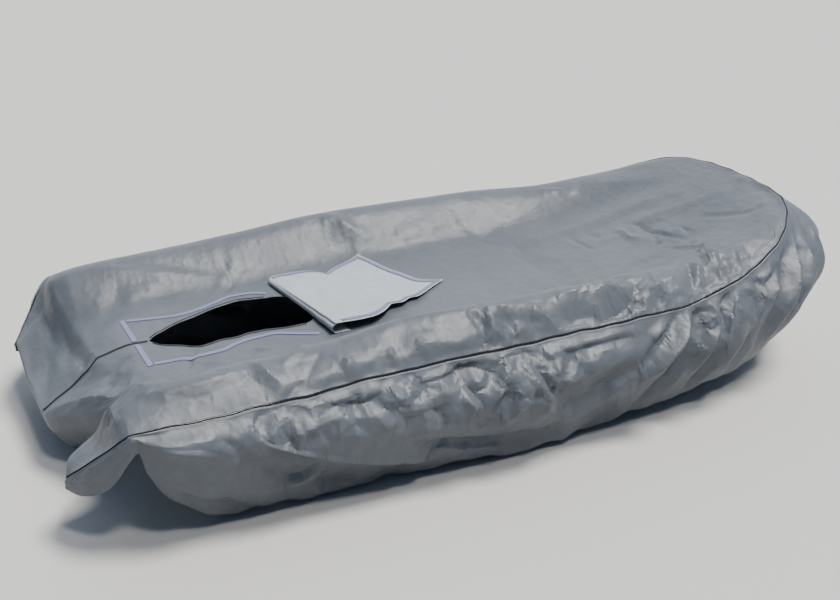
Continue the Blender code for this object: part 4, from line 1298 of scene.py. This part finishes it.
# ---- Flap ----
def blended(fold, near, far, free, along, cross):
    """A sheet between four edges: its corners are counted once."""
    corners = (1 - along) * ((1 - cross) * fold[0] + cross * fold[-1])
    corners = corners + along * ((1 - cross) * free[0] + cross * free[-1])
    return (1 - along) * fold + along * free + (1 - cross) * near[:, None] + cross * far[:, None] - corners


def on_top(spots, up):
    """Points over the top panel, each its own height up."""
    return [(x, y, find(x, y)[0][2] + height) for (x, y), height in zip(spots, up)]


def flap_grid(share, parts):
    """The flap's points, from its edge under the fold round to its free edge, and the upper layer alone."""
    near, far = route(FLAP_NEAR, parts), route(FLAP_FAR, parts)
    fold, free = route(FLAP_FOLD, share), route(FLAP_FREE, share)
    plan = blended(fold, near, far, free, parts[:, None, None], share[None, :, None])
    roll = ROLL_NEAR + (ROLL_FAR - ROLL_NEAR) * share
    seat = FLAP_SEAT + FLAP_CLOTH / 2
    seats = np.full(len(share), seat)
    lift = seat + FLAP_LIFT
    upper = [on_top(row, lift + 2 * roll * (1 - ease(part))) for part, row in zip(parts[1:], plan[1:])]
    forward = unit(plan[1] - plan[0])
    under = [on_top(plan[0] + forward * back, seats) for back in np.linspace(FLAP_UNDER, 0.3 * FLAP_UNDER, 6)]
    base = np.array(on_top(plan[0] + forward * roll[:, None], seats))[:, 2]
    for turn in np.radians(np.linspace(-90, -265, 12)):  # the roll at the fold
        spots = plan[0] + forward * (roll * (1 + np.cos(turn)))[:, None]
        under.append(np.column_stack([spots, base + roll * (1 + np.sin(turn))]))
    upper = even_out(np.array(upper), 6)
    return np.concatenate([np.array(under), upper]), upper


flap, flap_top = flap_grid(np.linspace(0, 1, 61), np.linspace(0, 1, 57))
flap_sheet = grid_mesh("flap_sheet", [flap], FLAP_CLOTH, LINING_FINISH)
dress(flap_sheet, "coated_underside", "hatch_flap")
flap_edges = {
    "near": flap_top[3:-3, 1:4],
    "far": flap_top[3:-3, -4:-1],
    "free": flap_top[-4:-1, 1:-1],
}
for edge, grid in flap_edges.items():
    grid = grid + (0, 0, FLAP_CLOTH / 2 + LAID_CLEAR + TAPE / 2)
    thing = grid_mesh("flap_tape_" + edge, [grid], TAPE, TAPE_FINISH)
    dress(thing, "lilac_hook_strip", "flap_strip_" + edge)

# ---- Floor, lights and camera ----
skirt_corners = [
    thing.matrix_world @ Vector(spot) for thing in (skirt_near, skirt_far) for spot in thing.bound_box
]
floor_mesh = bpy.data.meshes.new("floor")
floor_corners = [(FLOOR_SIZE * a, FLOOR_SIZE * b, 0) for a, b in ((-1, -1), (1, -1), (1, 1), (-1, 1))]
floor_mesh.from_pydata(floor_corners, [], [(0, 1, 2, 3)])
floor_finish, _, shader = material("pale_floor", 0.9, 0.2)
shader.inputs["Base Color"].default_value = (0.56, 0.55, 0.525, 1)
floor = object_of("floor", floor_mesh, floor_finish)
floor.location.z = min(spot.z for spot in skirt_corners) - FLOOR_GAP


def light(name, kind, towards, energy, colour, at=(0, 0, 0), **settings):
    lamp = bpy.data.lights.new(name, kind)
    lamp.energy = energy
    lamp.color = colour
    for setting, value in settings.items():
        setattr(lamp, setting, value)
    thing = bpy.data.objects.new(name, lamp)
    thing.location = at
    thing.rotation_mode = "QUATERNION"
    thing.rotation_quaternion = Vector(towards).to_track_quat("-Z", "Y")
    bpy.context.scene.collection.objects.link(thing)


light("sky_panel", "SUN", (-0.38, 0.12, -1.0), 4.7, (1.0, 0.975, 0.94), angle=math.radians(20))
light("key_panel", "SUN", (-0.10, 0.46, -0.88), 1.2, (1.0, 0.97, 0.93), angle=math.radians(8))
light(
    "blue_fill", "AREA", (-2.8, 1.6, -0.9), 5, (0.30, 0.55, 1.0), (3.8, -1.6, 0.9),
    shape="RECTANGLE", size=1.6, size_y=1.2,
)
world = bpy.data.worlds.new("studio")
world.use_nodes = True
tree = world.node_tree
spots = add(tree, "TexCoord").outputs["Generated"]
facing = add(tree, "VectorMath", spots, BRIGHT_SKY, operation="DOT_PRODUCT").outputs["Value"]
backdrop = tree.nodes["Background"]
feed(tree, backdrop.inputs["Color"], ramp(tree, facing, SKY_STOPS))
backdrop.inputs["Strength"].default_value = 1.6
bpy.context.scene.world = world

YAW, PITCH, ROLL = (math.radians(a) for a in (25.193, 22.543, -0.29))
ahead = Vector((math.sin(YAW) * math.cos(PITCH), math.cos(YAW) * math.cos(PITCH), -math.sin(PITCH)))
level = Vector((math.cos(YAW), -math.sin(YAW), 0))
upward = level.cross(ahead)
right = math.cos(ROLL) * level + math.sin(ROLL) * upward
top_of_view = -math.sin(ROLL) * level + math.cos(ROLL) * upward
camera = bpy.data.cameras.new("camera")
camera.sensor_width = SENSOR
camera.lens = FOCAL * SENSOR / PHOTO_WIDTH
viewer = bpy.data.objects.new("camera", camera)
bpy.context.scene.collection.objects.link(viewer)
turned = Matrix((right, top_of_view, -ahead)).transposed().to_4x4()
viewer.matrix_world = Matrix.Translation(CAMERA_PLACE) @ turned
bpy.context.scene.camera = viewer

bpy.context.view_layer.update()
